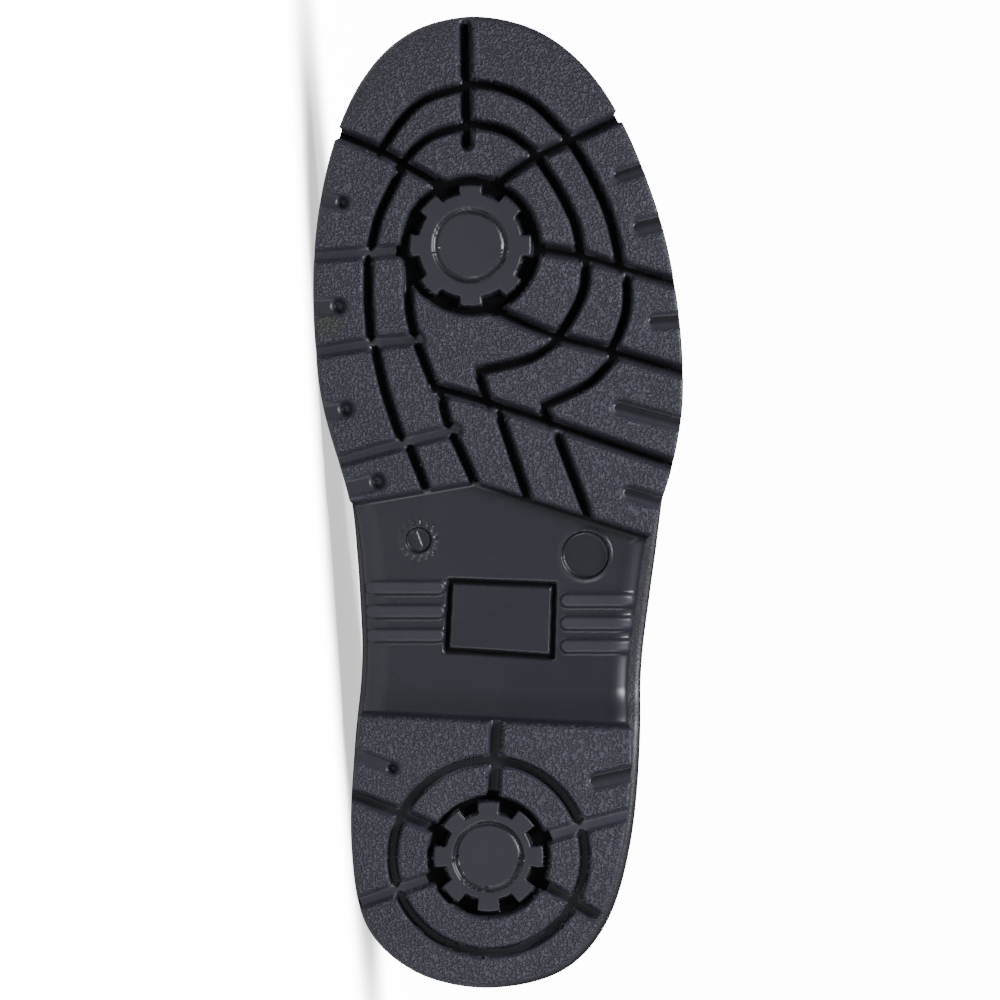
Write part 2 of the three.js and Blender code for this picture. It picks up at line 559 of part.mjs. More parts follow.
function upper() {
  const rows = [0, 0.8, 1.7, 2.6, 3.6, 4.7, 5.8, 7, 8.2, 9.4, 10.6, 11.5, 12.1, 12.6, 12.87, collarRow];
  const puff = (row) => smoothstep(row, 11, 12.3);
  const rim = (row) => collarRound * smoothstep(row, 12.6, collarRow);
  const shell = thickSheet(
    2 * upperSteps,
    rows,
    true,
    (u, row) => {
      const angle = 2 * Math.PI * u;
      return upperPoint(angle, row, quarterStep + 0.3 * collarPad * padShare(angle) * puff(row) - rim(row));
    },
    (u, row) => {
      const angle = 2 * Math.PI * u;
      return upperPoint(angle, row, -leather - 0.7 * collarPad * padShare(angle) * puff(row) + 0.6 * rim(row));
    },
  );
  const seam = (row) => lerp(1.72, 2.9, clamp(row / throatRow, 0, 1) ** 1.6);
  const vampRows = [-0.4, 0.8, 1.7, 2.6, 3.6, 4.7, 5.8, throatRow];
  const vamp = frontPatch(18, vampRows, seam, farOut, 0);
  const slotEdge = (row) => {
    const open = clamp((row - throatRow) / 0.6, 0.02, 1);
    return angleAtHalfWidth(Math.min(row, collarRow), throatHalf(row) * Math.sqrt(1 - (1 - open) ** 2));
  };
  const throatRows = [throatRow, 7, 7.2, 7.5, 8.5, 9.5, 10.5, 11.5, 12.5, 13.6];
  const throat = frontPatch(4, throatRows, slotEdge, farOut, -farOut);
  let made = solid(shell).subtract(solid(vamp)).subtract(solid(throat));
  for (const place of eyeletPlaces) {
    const bit = new THREE.CylinderGeometry(eyelet.barrel / 2 + slipGap, eyelet.barrel / 2 + slipGap, farOut, eyeletSides).rotateX(Math.PI / 2);
    made = made.subtract(solid(standOnUpper(bit, place, 0)));
  }
  return made;
}

function tongue() {
  const rows = [6.2, 7.4, 8.6, 9.8, 11, 12.2, 13.2, 13.9];
  const edge = (row) => Math.PI - degToRad(row > 13 ? lerp(35, 28, (row - 13) / 0.9) : 35);
  const face = leather + slipGap + 0.5;
  return solid(frontPatch(12, rows, edge, -face, -face - tongueThickness));
}

function insole() {
  const level = (rise, inset) => ({
    edge: (angle) => upperPoint(angle, 0, -leather - insoleGap - inset),
    height: (along) => soleTop(along) + slipGap + rise,
  });
  return solid(soleLoft([level(0, 0), level(insoleThickness - 1, 0), level(insoleThickness, 1)]));
}

// A rolled metal eyelet: a barrel through the facing, and a flange on it.
function eyeletRing() {
  const { hole, barrel, flange, flangeThickness, seat } = eyelet;
  const foot = -(quarterStep + leather) + slipGap;
  const profile = [
    [hole, foot],
    [barrel, foot],
    [barrel, seat],
    [flange, seat],
    [flange - 0.6, seat + flangeThickness],
    [hole, seat + flangeThickness],
    [hole, foot],
  ].map(([width, height]) => new THREE.Vector2(width / 2, height));
  return new THREE.LatheGeometry(profile, eyeletSides).rotateX(Math.PI / 2);
}

// A stretch of lace over the facings, from one eyelet to another.
function laceStrand(from, to) {
  const lift = quarterStep + eyelet.seat + eyelet.flangeThickness + laceGap + laceDiameter / 2;
  const steps = 4;
  const points = Array.from({ length: steps + 1 }, (_, i) =>
    upperPoint(lerp(from.angle, to.angle, i / steps), lerp(from.row, to.row, i / steps), lift),
  );
  const outline = new THREE.Shape(circle(new THREE.Vector2(), laceDiameter / 2, 6));
  const path = new THREE.CatmullRomCurve3(points);
  return solid(new THREE.ExtrudeGeometry(outline, { steps, extrudePath: path }));
}

// The crossings of the lace, joined at the eyelets, with a straight bar at the lowest pair.
function lace() {
  const at = (pair, side) => eyeletPlaces[2 * pair + side];
  let made = laceStrand(at(0, 0), at(0, 1));
  for (let pair = 0; pair < eyeletPairs - 1; pair += 1) {
    made = made.add(laceStrand(at(pair, 0), at(pair + 1, 1))).add(laceStrand(at(pair, 1), at(pair + 1, 0)));
  }
  return made;
}

const rubber = new THREE.MeshStandardMaterial({ color: 0x34353b, roughness: 0.62, metalness: 0 });
const foam = new THREE.MeshStandardMaterial({ color: 0x2b2c31, roughness: 0.7, metalness: 0 });
const blackLeather = new THREE.MeshStandardMaterial({ color: 0x1c1c1e, roughness: 0.5, metalness: 0 });
const lining = new THREE.MeshStandardMaterial({ color: 0x232427, roughness: 0.9, metalness: 0 });
const blackMetal = new THREE.MeshStandardMaterial({ color: 0x3a3a3c, roughness: 0.35, metalness: 1 });
const cord = new THREE.MeshStandardMaterial({ color: 0x18181a, roughness: 0.85, metalness: 0 });

const boot = new THREE.Group();

function addPiece(name, geometry, material) {
  const mesh = new THREE.Mesh(geometry, material);
  mesh.name = name;
  boot.add(mesh);
}

addPiece('outsole', geometryOf(outsole()), rubber);
addPiece('midsole', geometryOf(midsole()), foam);
addPiece('insole', geometryOf(insole()), lining);
addPiece('upper', geometryOf(upper()), blackLeather);
addPiece('tongue', geometryOf(tongue()), blackLeather);
addPiece('lace', geometryOf(lace()), cord);
for (const place of eyeletPlaces) {
  addPiece(place.name, standOnUpper(eyeletRing(), place, quarterStep), blackMetal);
}

// How the boot lies on its inner side: the plane -y = height + tilt * x + lean * z that all of it is inside of, and
// that is lowest under its middle. It touches the sole's edge at ball and heel, and the upper.
function floorPlane() {
  const points = [];
  for (const { geometry } of boot.children) {
    const p = geometry.getAttribute('position');
    for (let i = 0; i < p.count; i += 1) points.push(new THREE.Vector3().fromBufferAttribute(p, i));
  }
  const inside = points.filter((p) => p.y < -0.3 * heelWidth);
  const middle = new THREE.Vector3(0.44 * soleLength, 0, 1.6 * heelHeight);
  const reach = (tilt, lean) =>
    Math.max(...inside.map((p) => -p.y - tilt * (p.x - middle.x) - lean * (p.z - middle.z)));
  const lowest = (value) => {
    let [low, high] = [-0.5, 0.5];
    for (let i = 0; i < 40; i += 1) {
      const third = (high - low) / 3;
      if (value(low + third) < value(high - third)) high -= third;
      else low += third;
    }
    return (low + high) / 2;
  };
  const leanFor = (tilt) => lowest((lean) => reach(tilt, lean));
  const tilt = lowest((slope) => reach(slope, leanFor(slope)));
  return { tilt, lean: leanFor(tilt) };
}

// Lays the boot on that plane, toe towards -x, sole towards -y, with the origin under the middle of its box.
function layDown() {
  const { tilt, lean } = floorPlane();
  const up = new THREE.Vector3(tilt, 1, lean).normalize();
  const heel = new THREE.Vector3(-1, 0, 0).addScaledVector(up, up.x).normalize();
  const standing = new THREE.Matrix4().makeBasis(heel, up.clone().cross(heel), up);
  boot.quaternion.setFromRotationMatrix(standing).invert();
  const box = new THREE.Box3().setFromObject(boot, true);
  boot.position.set(-(box.min.x + box.max.x) / 2, -(box.min.y + box.max.y) / 2, -box.min.z);
}

layDown();

export default boot;
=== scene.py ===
"""A left lace-up safety boot, lying on its inner side with its tread to the camera.

Sizes are in metres. Each piece is shaped in the standing boot's own directions, with x from heel to toe, y to
the outer side and z up from the tread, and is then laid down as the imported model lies.
"""

import json
import math

import bmesh
import bpy
import numpy as np
from mathutils import Matrix, Vector


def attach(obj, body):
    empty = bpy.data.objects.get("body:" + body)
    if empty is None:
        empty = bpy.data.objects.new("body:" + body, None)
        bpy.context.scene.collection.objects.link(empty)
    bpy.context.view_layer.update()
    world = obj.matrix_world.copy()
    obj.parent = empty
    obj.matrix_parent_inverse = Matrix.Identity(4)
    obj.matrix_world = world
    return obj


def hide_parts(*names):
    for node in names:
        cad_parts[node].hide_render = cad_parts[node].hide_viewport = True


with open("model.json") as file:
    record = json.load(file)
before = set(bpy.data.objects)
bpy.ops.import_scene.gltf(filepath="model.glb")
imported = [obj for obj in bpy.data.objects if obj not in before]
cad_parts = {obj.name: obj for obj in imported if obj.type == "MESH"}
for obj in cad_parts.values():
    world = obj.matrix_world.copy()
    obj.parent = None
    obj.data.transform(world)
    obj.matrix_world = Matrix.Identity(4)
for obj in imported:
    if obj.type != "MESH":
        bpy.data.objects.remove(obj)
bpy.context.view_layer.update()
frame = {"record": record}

# How the boot lies. Two flat spots on the tread, one on the heel and one on the forefoot, say where the
# plane of the tread is and which way the toe points, and the boot's outer side is then up from the floor.
SPOT_ON_HEEL = Vector((0.075, -0.016, 0))
spots = {mount["name"]: mount for mount in frame["record"]["mounts"]}
heel_spot = Vector(spots["heel_tread"]["pos_m"])
tread_out = Vector(spots["heel_tread"]["axis"]).normalized()
to_toe = (Vector(spots["forefoot_tread"]["pos_m"]) - heel_spot).normalized()
to_outer = to_toe.cross(tread_out)
lying = Matrix((to_toe, to_outer, -tread_out)).transposed().to_4x4()
lying.translation = heel_spot - lying.to_3x3() @ SPOT_ON_HEEL

# The camera looks straight at the tread, rolled so that the toe is up, as in the photograph. Its lens makes
# the picture span 308 mm at the depth of the sole's rim.
PICTURE_SPAN = 0.308
PICTURE_MIDDLE = Vector((0.1506, 0.0022, 0))
CAMERA_DISTANCE = 1.5
RIM_DEPTH = 0.010
SENSOR = 0.036
camera_data = bpy.data.cameras.new("camera")
camera_data.sensor_width = 1000 * SENSOR
camera_data.lens = 1000 * SENSOR * (CAMERA_DISTANCE + RIM_DEPTH) / PICTURE_SPAN
camera = bpy.data.objects.new("camera", camera_data)
bpy.context.scene.collection.objects.link(camera)
aim = lying @ PICTURE_MIDDLE
camera.matrix_world = Matrix((to_outer, to_toe, tread_out)).transposed().to_4x4()
camera.location = aim + CAMERA_DISTANCE * tread_out
bpy.context.scene.camera = camera

# Outsole: the boot's tread, pressed from black rubber in one mould and cemented under the midsole. Rings and
# cross grooves cut its lugs round two toothed wheels, one each side of a smooth waist. It is drawn as two
# meshes that meet across the waist.


def smooth(value, low, high):
    """0 below low, 1 above high and an easy curve between, for arrays as well as numbers."""
    t = np.clip((value - low) / (high - low), 0, 1)
    return t * t * (3 - 2 * t)


def mix(low, high, share):
    return low + (high - low) * share


# The plan of the sole is its edge every 15 degrees, where the place along the sole is (1 - cos angle) / 2.
# Each edge is a share of half the local width, out from y = 0, so that the toe leans inwards and the waist
# is cut in on the inner side. The sole widens from heel to ball over WIDENING, given in shares of its
# length.
SOLE_LENGTH = 0.300
BALL_WIDTH = 0.114
HEEL_WIDTH = 0.088
WIDENING = (0.3, 0.6)
INNER_EDGE = (0.045, 0.534, 0.886, 0.991, 0.966, 0.884, 0.821, 0.940, 0.961, 0.877, 0.711, 0.456, 0.114)
OUTER_EDGE = (-0.045, 0.473, 0.793, 0.961, 1.030, 1.028, 0.983, 1.023, 0.951, 0.781, 0.558, 0.260, -0.114)
EDGE_SHARES = np.array(OUTER_EDGE + tuple(-share for share in INNER_EDGE[-2:0:-1]))


def along_at(angle):
    return (1 - np.cos(angle)) / 2


def half_local(along):
    return mix(HEEL_WIDTH, BALL_WIDTH, smooth(along, *WIDENING)) / 2


def smooth_between(a, b, c, d, t):
    return b + 0.5 * t * (c - a + t * (2 * a - 5 * b + 4 * c - d + t * (3 * (b - c) + d - a)))


def edge_share(angle):
    """How far the sole's edge lies from y = 0, from the heel by the outer side to the toe and back."""
    count = len(EDGE_SHARES)
    place = np.asarray(angle) / (2 * np.pi) * count
    first = np.floor(place).astype(int)
    a, b, c, d = (EDGE_SHARES[(first + step) % count] for step in (-1, 0, 1, 2))
    return smooth_between(a, b, c, d, place - first)


def outline(angle, inset=0.0):
    """x and y of the sole's edge, moved inwards by an inset."""

    def bare(at):
        return along_at(at) * SOLE_LENGTH, edge_share(at) * half_local(along_at(at))

    step = 1e-3
    (x0, y0), (x1, y1) = bare(angle - step), bare(angle + step)
    length = np.hypot(x1 - x0, y1 - y0)
    x, y = bare(angle)
    return x + inset * (y1 - y0) / length, y - inset * (x1 - x0) / length


# The heights of the sole are the face of the tread, the floor of its grooves and waist, the joint of outsole
# and midsole, and the top that carries the upper. Where each begins and ends is a share of the sole's
# length.
HEEL_HEIGHT, BALL_HEIGHT, HEEL_TO_BALL = 0.030, 0.019, (0.18, 0.62)
TOE_SPRING, TOE_START, TOE_RUN, TOE_CURVE = 0.012, 0.68, 0.32, 2.2
TOP_SPRING_SHARE = 0.75
HEEL_ROLL, HEEL_ROLL_RUN = 0.0025, 0.05
TREAD_DEPTH = 0.004
ARCH_RISE, ARCH_UP, ARCH_DOWN = 0.0046, (0.265, 0.31), (0.33, 0.56)
OUTSOLE_BASE = 0.0035
SLIP_GAP = 0.0003


def toe_rise(along):
    return TOE_SPRING * np.clip((along - TOE_START) / TOE_RUN, 0, 1) ** TOE_CURVE


def tread_face(along):
    return toe_rise(along) + HEEL_ROLL * np.clip((HEEL_ROLL_RUN - along) / HEEL_ROLL_RUN, 0, 1) ** 2


def waist_rise(along):
    return ARCH_RISE * smooth(along, *ARCH_UP) * (1 - smooth(along, *ARCH_DOWN))


def sole_joint(along):
    return tread_face(along) + TREAD_DEPTH + waist_rise(along) + OUTSOLE_BASE


def sole_top(along):
    return mix(HEEL_HEIGHT, BALL_HEIGHT, smooth(along, *HEEL_TO_BALL)) + TOP_SPRING_SHARE * toe_rise(along)


# A groove is its width, its depth and the line that it follows, and a notch its width and its line from the
# edge inwards. Places are shares of the sole's length and of half the ball's width, or of half the heel's
# width in the heel's own tables.
SLIT, SPOKE, RING, LINK = 0.0042, 0.0039, 0.0030, 0.0028
SHALLOW = 0.0030
FOREFOOT_GROOVES = (
    (SLIT, TREAD_DEPTH, ((0.990, -0.15), (0.867, -0.14))),
    (LINK, TREAD_DEPTH, ((0.927, -0.14), (0.914, -0.36), (0.892, -0.49), (0.858, -0.61))),
    (RING, TREAD_DEPTH, ((0.929, -0.14), (0.925, 0.03), (0.907, 0.23), (0.869, 0.42))),
    (RING, TREAD_DEPTH, ((0.869, 0.42), (0.837, 0.52), (0.790, 0.63), (0.739, 0.69))),
    (LINK, TREAD_DEPTH, ((0.728, 0.72), (0.701, 0.72), (0.678, 0.69), (0.653, 0.63))),
    (LINK, TREAD_DEPTH, ((0.845, -0.48), (0.811, -0.57), (0.788, -0.62), (0.755, -0.66))),
    (LINK, TREAD_DEPTH, ((0.755, -0.67), (0.722, -0.67), (0.691, -0.665), (0.660, -0.65))),
    (LINK, TREAD_DEPTH, ((0.660, -0.635), (0.621, -0.59), (0.593, -0.545), (0.560, -0.485))),
    (LINK, TREAD_DEPTH, ((0.560, -0.455), (0.529, -0.39), (0.490, -0.31))),
    (LINK, TREAD_DEPTH, ((0.886, -0.14), (0.878, -0.30), (0.866, -0.40), (0.842, -0.51))),
    (RING, TREAD_DEPTH, ((0.888, -0.14), (0.882, 0.03), (0.871, 0.14), (0.850, 0.26))),
    (RING, TREAD_DEPTH, ((0.850, 0.25), (0.824, 0.34), (0.803, 0.40), (0.780, 0.45), (0.750, 0.475))),
    (RING, TREAD_DEPTH, ((0.742, 0.50), (0.719, 0.49), (0.696, 0.44), (0.668, 0.35))),
    (SPOKE, TREAD_DEPTH, ((0.884, -0.92), (0.858, -0.59), (0.845, -0.47), (0.820, -0.24))),
    (SPOKE, TREAD_DEPTH, ((0.903, 0.77), (0.869, 0.40), (0.848, 0.18), (0.812, -0.08))),
    (SPOKE, SHALLOW, ((0.749, -1.10), (0.755, -0.66), (0.758, -0.35))),
    (SPOKE, TREAD_DEPTH, ((0.763, 0.14), (0.751, 0.48), (0.739, 0.70), (0.716, 1.12))),
    (SPOKE, SHALLOW, ((0.648, -1.10), (0.662, -0.65), (0.666, -0.40))),
    (SPOKE, TREAD_DEPTH, ((0.708, -0.12), (0.672, 0.30), (0.655, 0.62), (0.627, 1.12))),
    (SPOKE, TREAD_DEPTH, ((0.618, -0.32), (0.602, -0.03), (0.584, 0.26), (0.561, 0.61), (0.528, 1.12))),
    (SPOKE, SHALLOW, ((0.527, -1.10), (0.561, -0.47), (0.574, -0.20))),
    (LINK, TREAD_DEPTH, ((0.757, -0.45), (0.700, -0.45), (0.660, -0.40), (0.616, -0.31))),
    (LINK, TREAD_DEPTH, ((0.612, -0.28), (0.580, -0.24), (0.551, -0.17), (0.500, -0.05))),
    (LINK, TREAD_DEPTH, ((0.667, 0.36), (0.650, 0.23), (0.642, 0.11), (0.634, -0.08))),
    (LINK, TREAD_DEPTH, ((0.634, -0.08), (0.600, -0.02))),
    (LINK, TREAD_DEPTH, ((0.650, 0.66), (0.625, 0.54), (0.611, 0.41), (0.599, 0.27))),
    (LINK, TREAD_DEPTH, ((0.599, 0.27), (0.580, 0.31))),
    (LINK, TREAD_DEPTH, ((0.590, 0.035), (0.553, 0.10), (0.490, 0.215))),
    (LINK, TREAD_DEPTH, ((0.567, 0.35), (0.527, 0.43), (0.465, 0.555))),
)
HEEL_GROOVES = (
    (SLIT, 0.0036, ((0.300, 0.03), (0.190, 0.00))),
    (SPOKE, 0.0036, ((0.212, -1.18), (0.182, -0.65), (0.160, -0.30))),
    (SPOKE, 0.0022, ((0.190, 1.18), (0.169, 0.62), (0.152, 0.25))),
    (SPOKE, 0.0028, ((0.078, -1.18), (0.104, -0.68), (0.122, -0.30))),
    (SPOKE, 0.0036, ((0.048, 1.05), (0.092, 0.55), (0.120, 0.24))),
)
FOREFOOT_NOTCHES = (
    (0.0039, ((0.816, -1.12), (0.806, -0.81))),
    (0.0047, ((0.697, -1.12), (0.700, -0.83))),
    (0.0046, ((0.584, -1.10), (0.595, -0.79))),
    (0.0048, ((0.500, -1.08), (0.521, -0.62))),
    (0.0036, ((0.855, 1.02), (0.834, 0.68))),
    (0.0045, ((0.796, 1.12), (0.781, 0.79))),
    (0.0042, ((0.688, 1.15), (0.684, 0.87))),
    (0.0042, ((0.573, 1.14), (0.596, 0.68))),
    (0.0039, ((0.487, 1.12), (0.509, 0.73))),
)
HEEL_NOTCHES = (
    (0.0034, ((0.253, -1.15), (0.228, -0.70))),
    (0.0043, ((0.231, 1.20), (0.215, 0.72))),
)
FORE_EDGE = ((0.486, -1.2), (0.522, -0.1), (0.445, 1.2))
HEEL_EDGE = ((0.284, -1.3), (0.275, 0.0), (0.266, 1.3))

# A wheel's radii are those of its body, of its teeth, of the moat round it, and of the outer and the inner
# edge of the channel round its bare disc.
BALL_WHEEL = {
    "at": (0.762, -0.12), "body": 0.0163, "teeth": 0.0189, "moat": 0.0216, "channel": 0.0115, "disc": 0.0097,
}
HEEL_WHEEL = {
    "at": (0.138, -0.03), "body": 0.0136, "teeth": 0.0171, "moat": 0.0188, "channel": 0.0108, "disc": 0.0094,
}
TOOTH_COUNT, TOOTH_HALF_WIDTH, TOOTH_FLANK = 8, 0.0037, 0.0003
WHEEL_SINK, WHEEL_RECESS, WHEEL_DISC_SINK = 0.0008, 0.0011, 0.0005
HEEL_RING_RADIUS, HEEL_RING_DEPTH = 0.0295, 0.0036
NOTCH_DENT, OUTER_NOTCH_DENT = 0.0016, 1.4

# Things moulded on the floor of the waist: bars on both sides, a framed bare plate, a round disc and a dial.
BARS = ((-0.65, -0.295, (0.412, 0.3875, 0.363)), (0.40, 0.735, (0.399, 0.3755, 0.352)))
BAR_WIDTH, BAR_PROUD = 0.0046, 0.0016
PLATE_CORNERS = ((0.419, -0.23), (0.415, 0.33), (0.341, 0.32), (0.348, -0.25))
PLATE_GROOVE, PLATE_GROOVE_DEPTH = 0.0018, 0.0014
DISC_AT, DISC_RADIUS, DISC_DEPTH, DISC_LINE_HALF = (0.446, 0.5), 0.0071, 0.0009, 0.0005
DIAL_AT, DIAL_RADIUS, DIAL_DEPTH, DIAL_TICK = (0.461, -0.4), 0.0038, 0.0006, np.pi / 8
DIAL_TICKS_AT, DIAL_LINE_HALF, DIAL_LINE_DEPTH = 0.0056, 0.0005, 0.0005
DIAL_POINTER = ((-0.0022, 0.0008), (0.0026, -0.0010))
FRAME_RIDGE_AT, FRAME_RIDGE_HALF, FRAME_RIDGE = 0.0006, 0.0007, 0.0005

# Painted shade: shares of the rubber's colour, 1 on the face of a lug and painted darker where the rubber
# is sunk, in grooves, notches, channels, the hub and the waist, where shade falls. A groove's painted shade
# goes by its depth. The waist's bars are painted lighter, a painted highlight on their raised tops.
WHEEL_PAINTED_SHADE, WAIST_PAINTED_SHADE, NOTCH_PAINTED_SHADE, GROOVE_PAINTED_SHADE = 0.52, 0.45, 0.50, 0.03
STEP_PAINTED_SHADOW, NOTCH_WALL_PAINTED_SHADE, CHANNEL_PAINTED_SHADE = 0.25, 0.14, 0.45
BAR_PAINTED_LIGHT, PLATE_GROOVE_PAINTED_SHADE, DISC_PAINTED_SHADE, DISC_LINE_PAINTED_SHADE = 1.5, 0.08, 0.75, 0.2
PAINTED_SHADE_BY_DEPTH = ((0.0016, 0.0030, 0.0036, TREAD_DEPTH), (0.95, 0.60, 0.22, GROOVE_PAINTED_SHADE))

# How edges are rounded: the lugs' lips, walls and corners, and the outsole's own edge in width and height.
LUG_ROUND, LUG_WALL, SPOKE_WALL, STEP_WALL, LUG_CORNER = 0.0005, 0.0006, 0.0012, 0.0020, 0.0016
MOAT_CORNER = 0.0012
EDGE_ROUND, TOE_ROUND, WAIST_ROUND = (0.0012, 0.0011), (0.0036, 0.0022), (0.0074, 0.0034)
TOE_INNER_ROUND, TOE_EDGE = (0.0100, 0.0052), (0.84, 0.95)
INNER_SIDE = (0.004, 0.016)

# How far the outsole's edge stands in: by a lip, where a groove cuts through it, and under the midsole's
# rim.
TREAD_LIP, RIM_CUT = 0.0008, 0.0010
HEEL_TUCK = {"inner": 0.0004, "outer": 0.0024}
WAIST_TUCK = {"inner": 0.0006, "outer": 0.0030}
HEEL_END, FOREPART_START = (0.22, 0.3), (0.44, 0.54)
CUT_DEPTHS, CUT_FROM, CUT_ENDS = (0.0022, 0.0028), 0.45, (0.33, 0.38)

# Where the painted shadow at the foot of the step down to the waist lies, and how far from a line and beside
# a groove things reach.
STEP_SHADOW_REACH, STEP_SHADOW_ALONG, STEP_SHADOW_ACROSS = (0.0012, 0.0036), (0.42, 0.45), (-0.010, 0.006)
LINE_REACH = 0.006
BESIDE = 0.001


def on_ball(along, across):
    return along * SOLE_LENGTH, across * BALL_WIDTH / 2


def on_heel(along, across):
    return along * SOLE_LENGTH, across * HEEL_WIDTH / 2


def spline(points, steps=6):
    """A smooth line through a few points, as a finer line."""
    points = np.array(points, float)
    if len(points) == 2:
        return points
    padded = np.vstack((points[:1], points, points[-1:]))
    share = np.linspace(0, 1, steps, endpoint=False)[:, None]
    runs = [smooth_between(*padded[i : i + 4], share) for i in range(len(points) - 1)]
    return np.vstack(runs + [points[-1:]])


def line_distance(x, y, line, reach=LINE_REACH):
    """Distance of each point from a line, worked out only within reach of it."""
    far = np.full(x.shape, reach)
    (low_x, low_y), (high_x, high_y) = line.min(0) - reach, line.max(0) + reach
    near = (x > low_x) & (x < high_x) & (y > low_y) & (y < high_y)
    px, py, best = x[near], y[near], far[near]
    for (ax, ay), (bx, by) in zip(line[:-1], line[1:]):
        dx, dy = bx - ax, by - ay
        t = np.clip(((px - ax) * dx + (py - ay) * dy) / (dx * dx + dy * dy), 0, 1)
        best = np.minimum(best, np.hypot(px - ax - t * dx, py - ay - t * dy))
    far[near] = best
    return far


def moulded_drop(inside, depth, wide=LUG_WALL):
    """Depth of a moulded edge, for points a distance inside it: round above, a steep wall and a soft foot."""
    inside = inside + 0.0002
    lip = np.clip((inside + LUG_ROUND) / LUG_ROUND, 0, 1)
    wall = 1 - (1 - np.clip(inside / wide, 0, 1)) ** 2
    return LUG_ROUND * (1 - np.sqrt(1 - lip * lip)) + (depth - LUG_ROUND) * wall


def rounded_union(a, b, corner=LUG_CORNER):
    """The larger of two distances, with the corner between them filled, so that lugs have rounded corners."""
    close = np.clip(1 - np.abs(a - b) / corner, 0, 1)
    return np.maximum(a, b) + close * close * corner / 4


def edge_round(along, belongs, inner=0):
    """Width and height of the outsole's rounded edge, widest in the waist and round the toe's inner side."""
    toe = smooth(along, *TOE_EDGE)
    rounds = []
    for plain, outward, inward, waist in zip(EDGE_ROUND, TOE_ROUND, TOE_INNER_ROUND, WAIST_ROUND):
        rounds.append(mix(mix(plain, mix(outward, inward, inner), toe), waist, belongs))
    return rounds


def wheel_radius(turn, wheel):
    """The toothed edge of a wheel, with one tooth pointing to the toe."""
    pitch = 2 * np.pi / TOOTH_COUNT
    from_tooth = np.abs((turn + pitch / 2) % pitch - pitch / 2) * wheel["teeth"]
    flank = smooth(from_tooth, TOOTH_HALF_WIDTH - TOOTH_FLANK, TOOTH_HALF_WIDTH + TOOTH_FLANK)
    return mix(wheel["teeth"], wheel["body"], flank)


ALL_GROOVES = [(w, d, spline([on_ball(*p) for p in line])) for w, d, line in FOREFOOT_GROOVES]
ALL_GROOVES += [(w, d, spline([on_heel(*p) for p in line])) for w, d, line in HEEL_GROOVES]
ALL_NOTCHES = [(w, np.array([on_ball(*p) for p in line])) for w, line in FOREFOOT_NOTCHES]
ALL_NOTCHES += [(w, np.array([on_heel(*p) for p in line])) for w, line in HEEL_NOTCHES]
ALL_WHEELS = [(on_ball(*BALL_WHEEL["at"]), BALL_WHEEL), (on_heel(*HEEL_WHEEL["at"]), HEEL_WHEEL)]


def waist_inside(x, y):
    """How far a point lies inside the waist, between the edges of the two treads."""
    fore = np.array([on_ball(*p) for p in FORE_EDGE])
    heel = np.array([on_heel(*p) for p in HEEL_EDGE])
    before = np.interp(y, fore[:, 1], fore[:, 0]) - x
    behind = x - np.interp(y, heel[:, 1], heel[:, 0])
    return np.minimum(before, behind) * 0.98


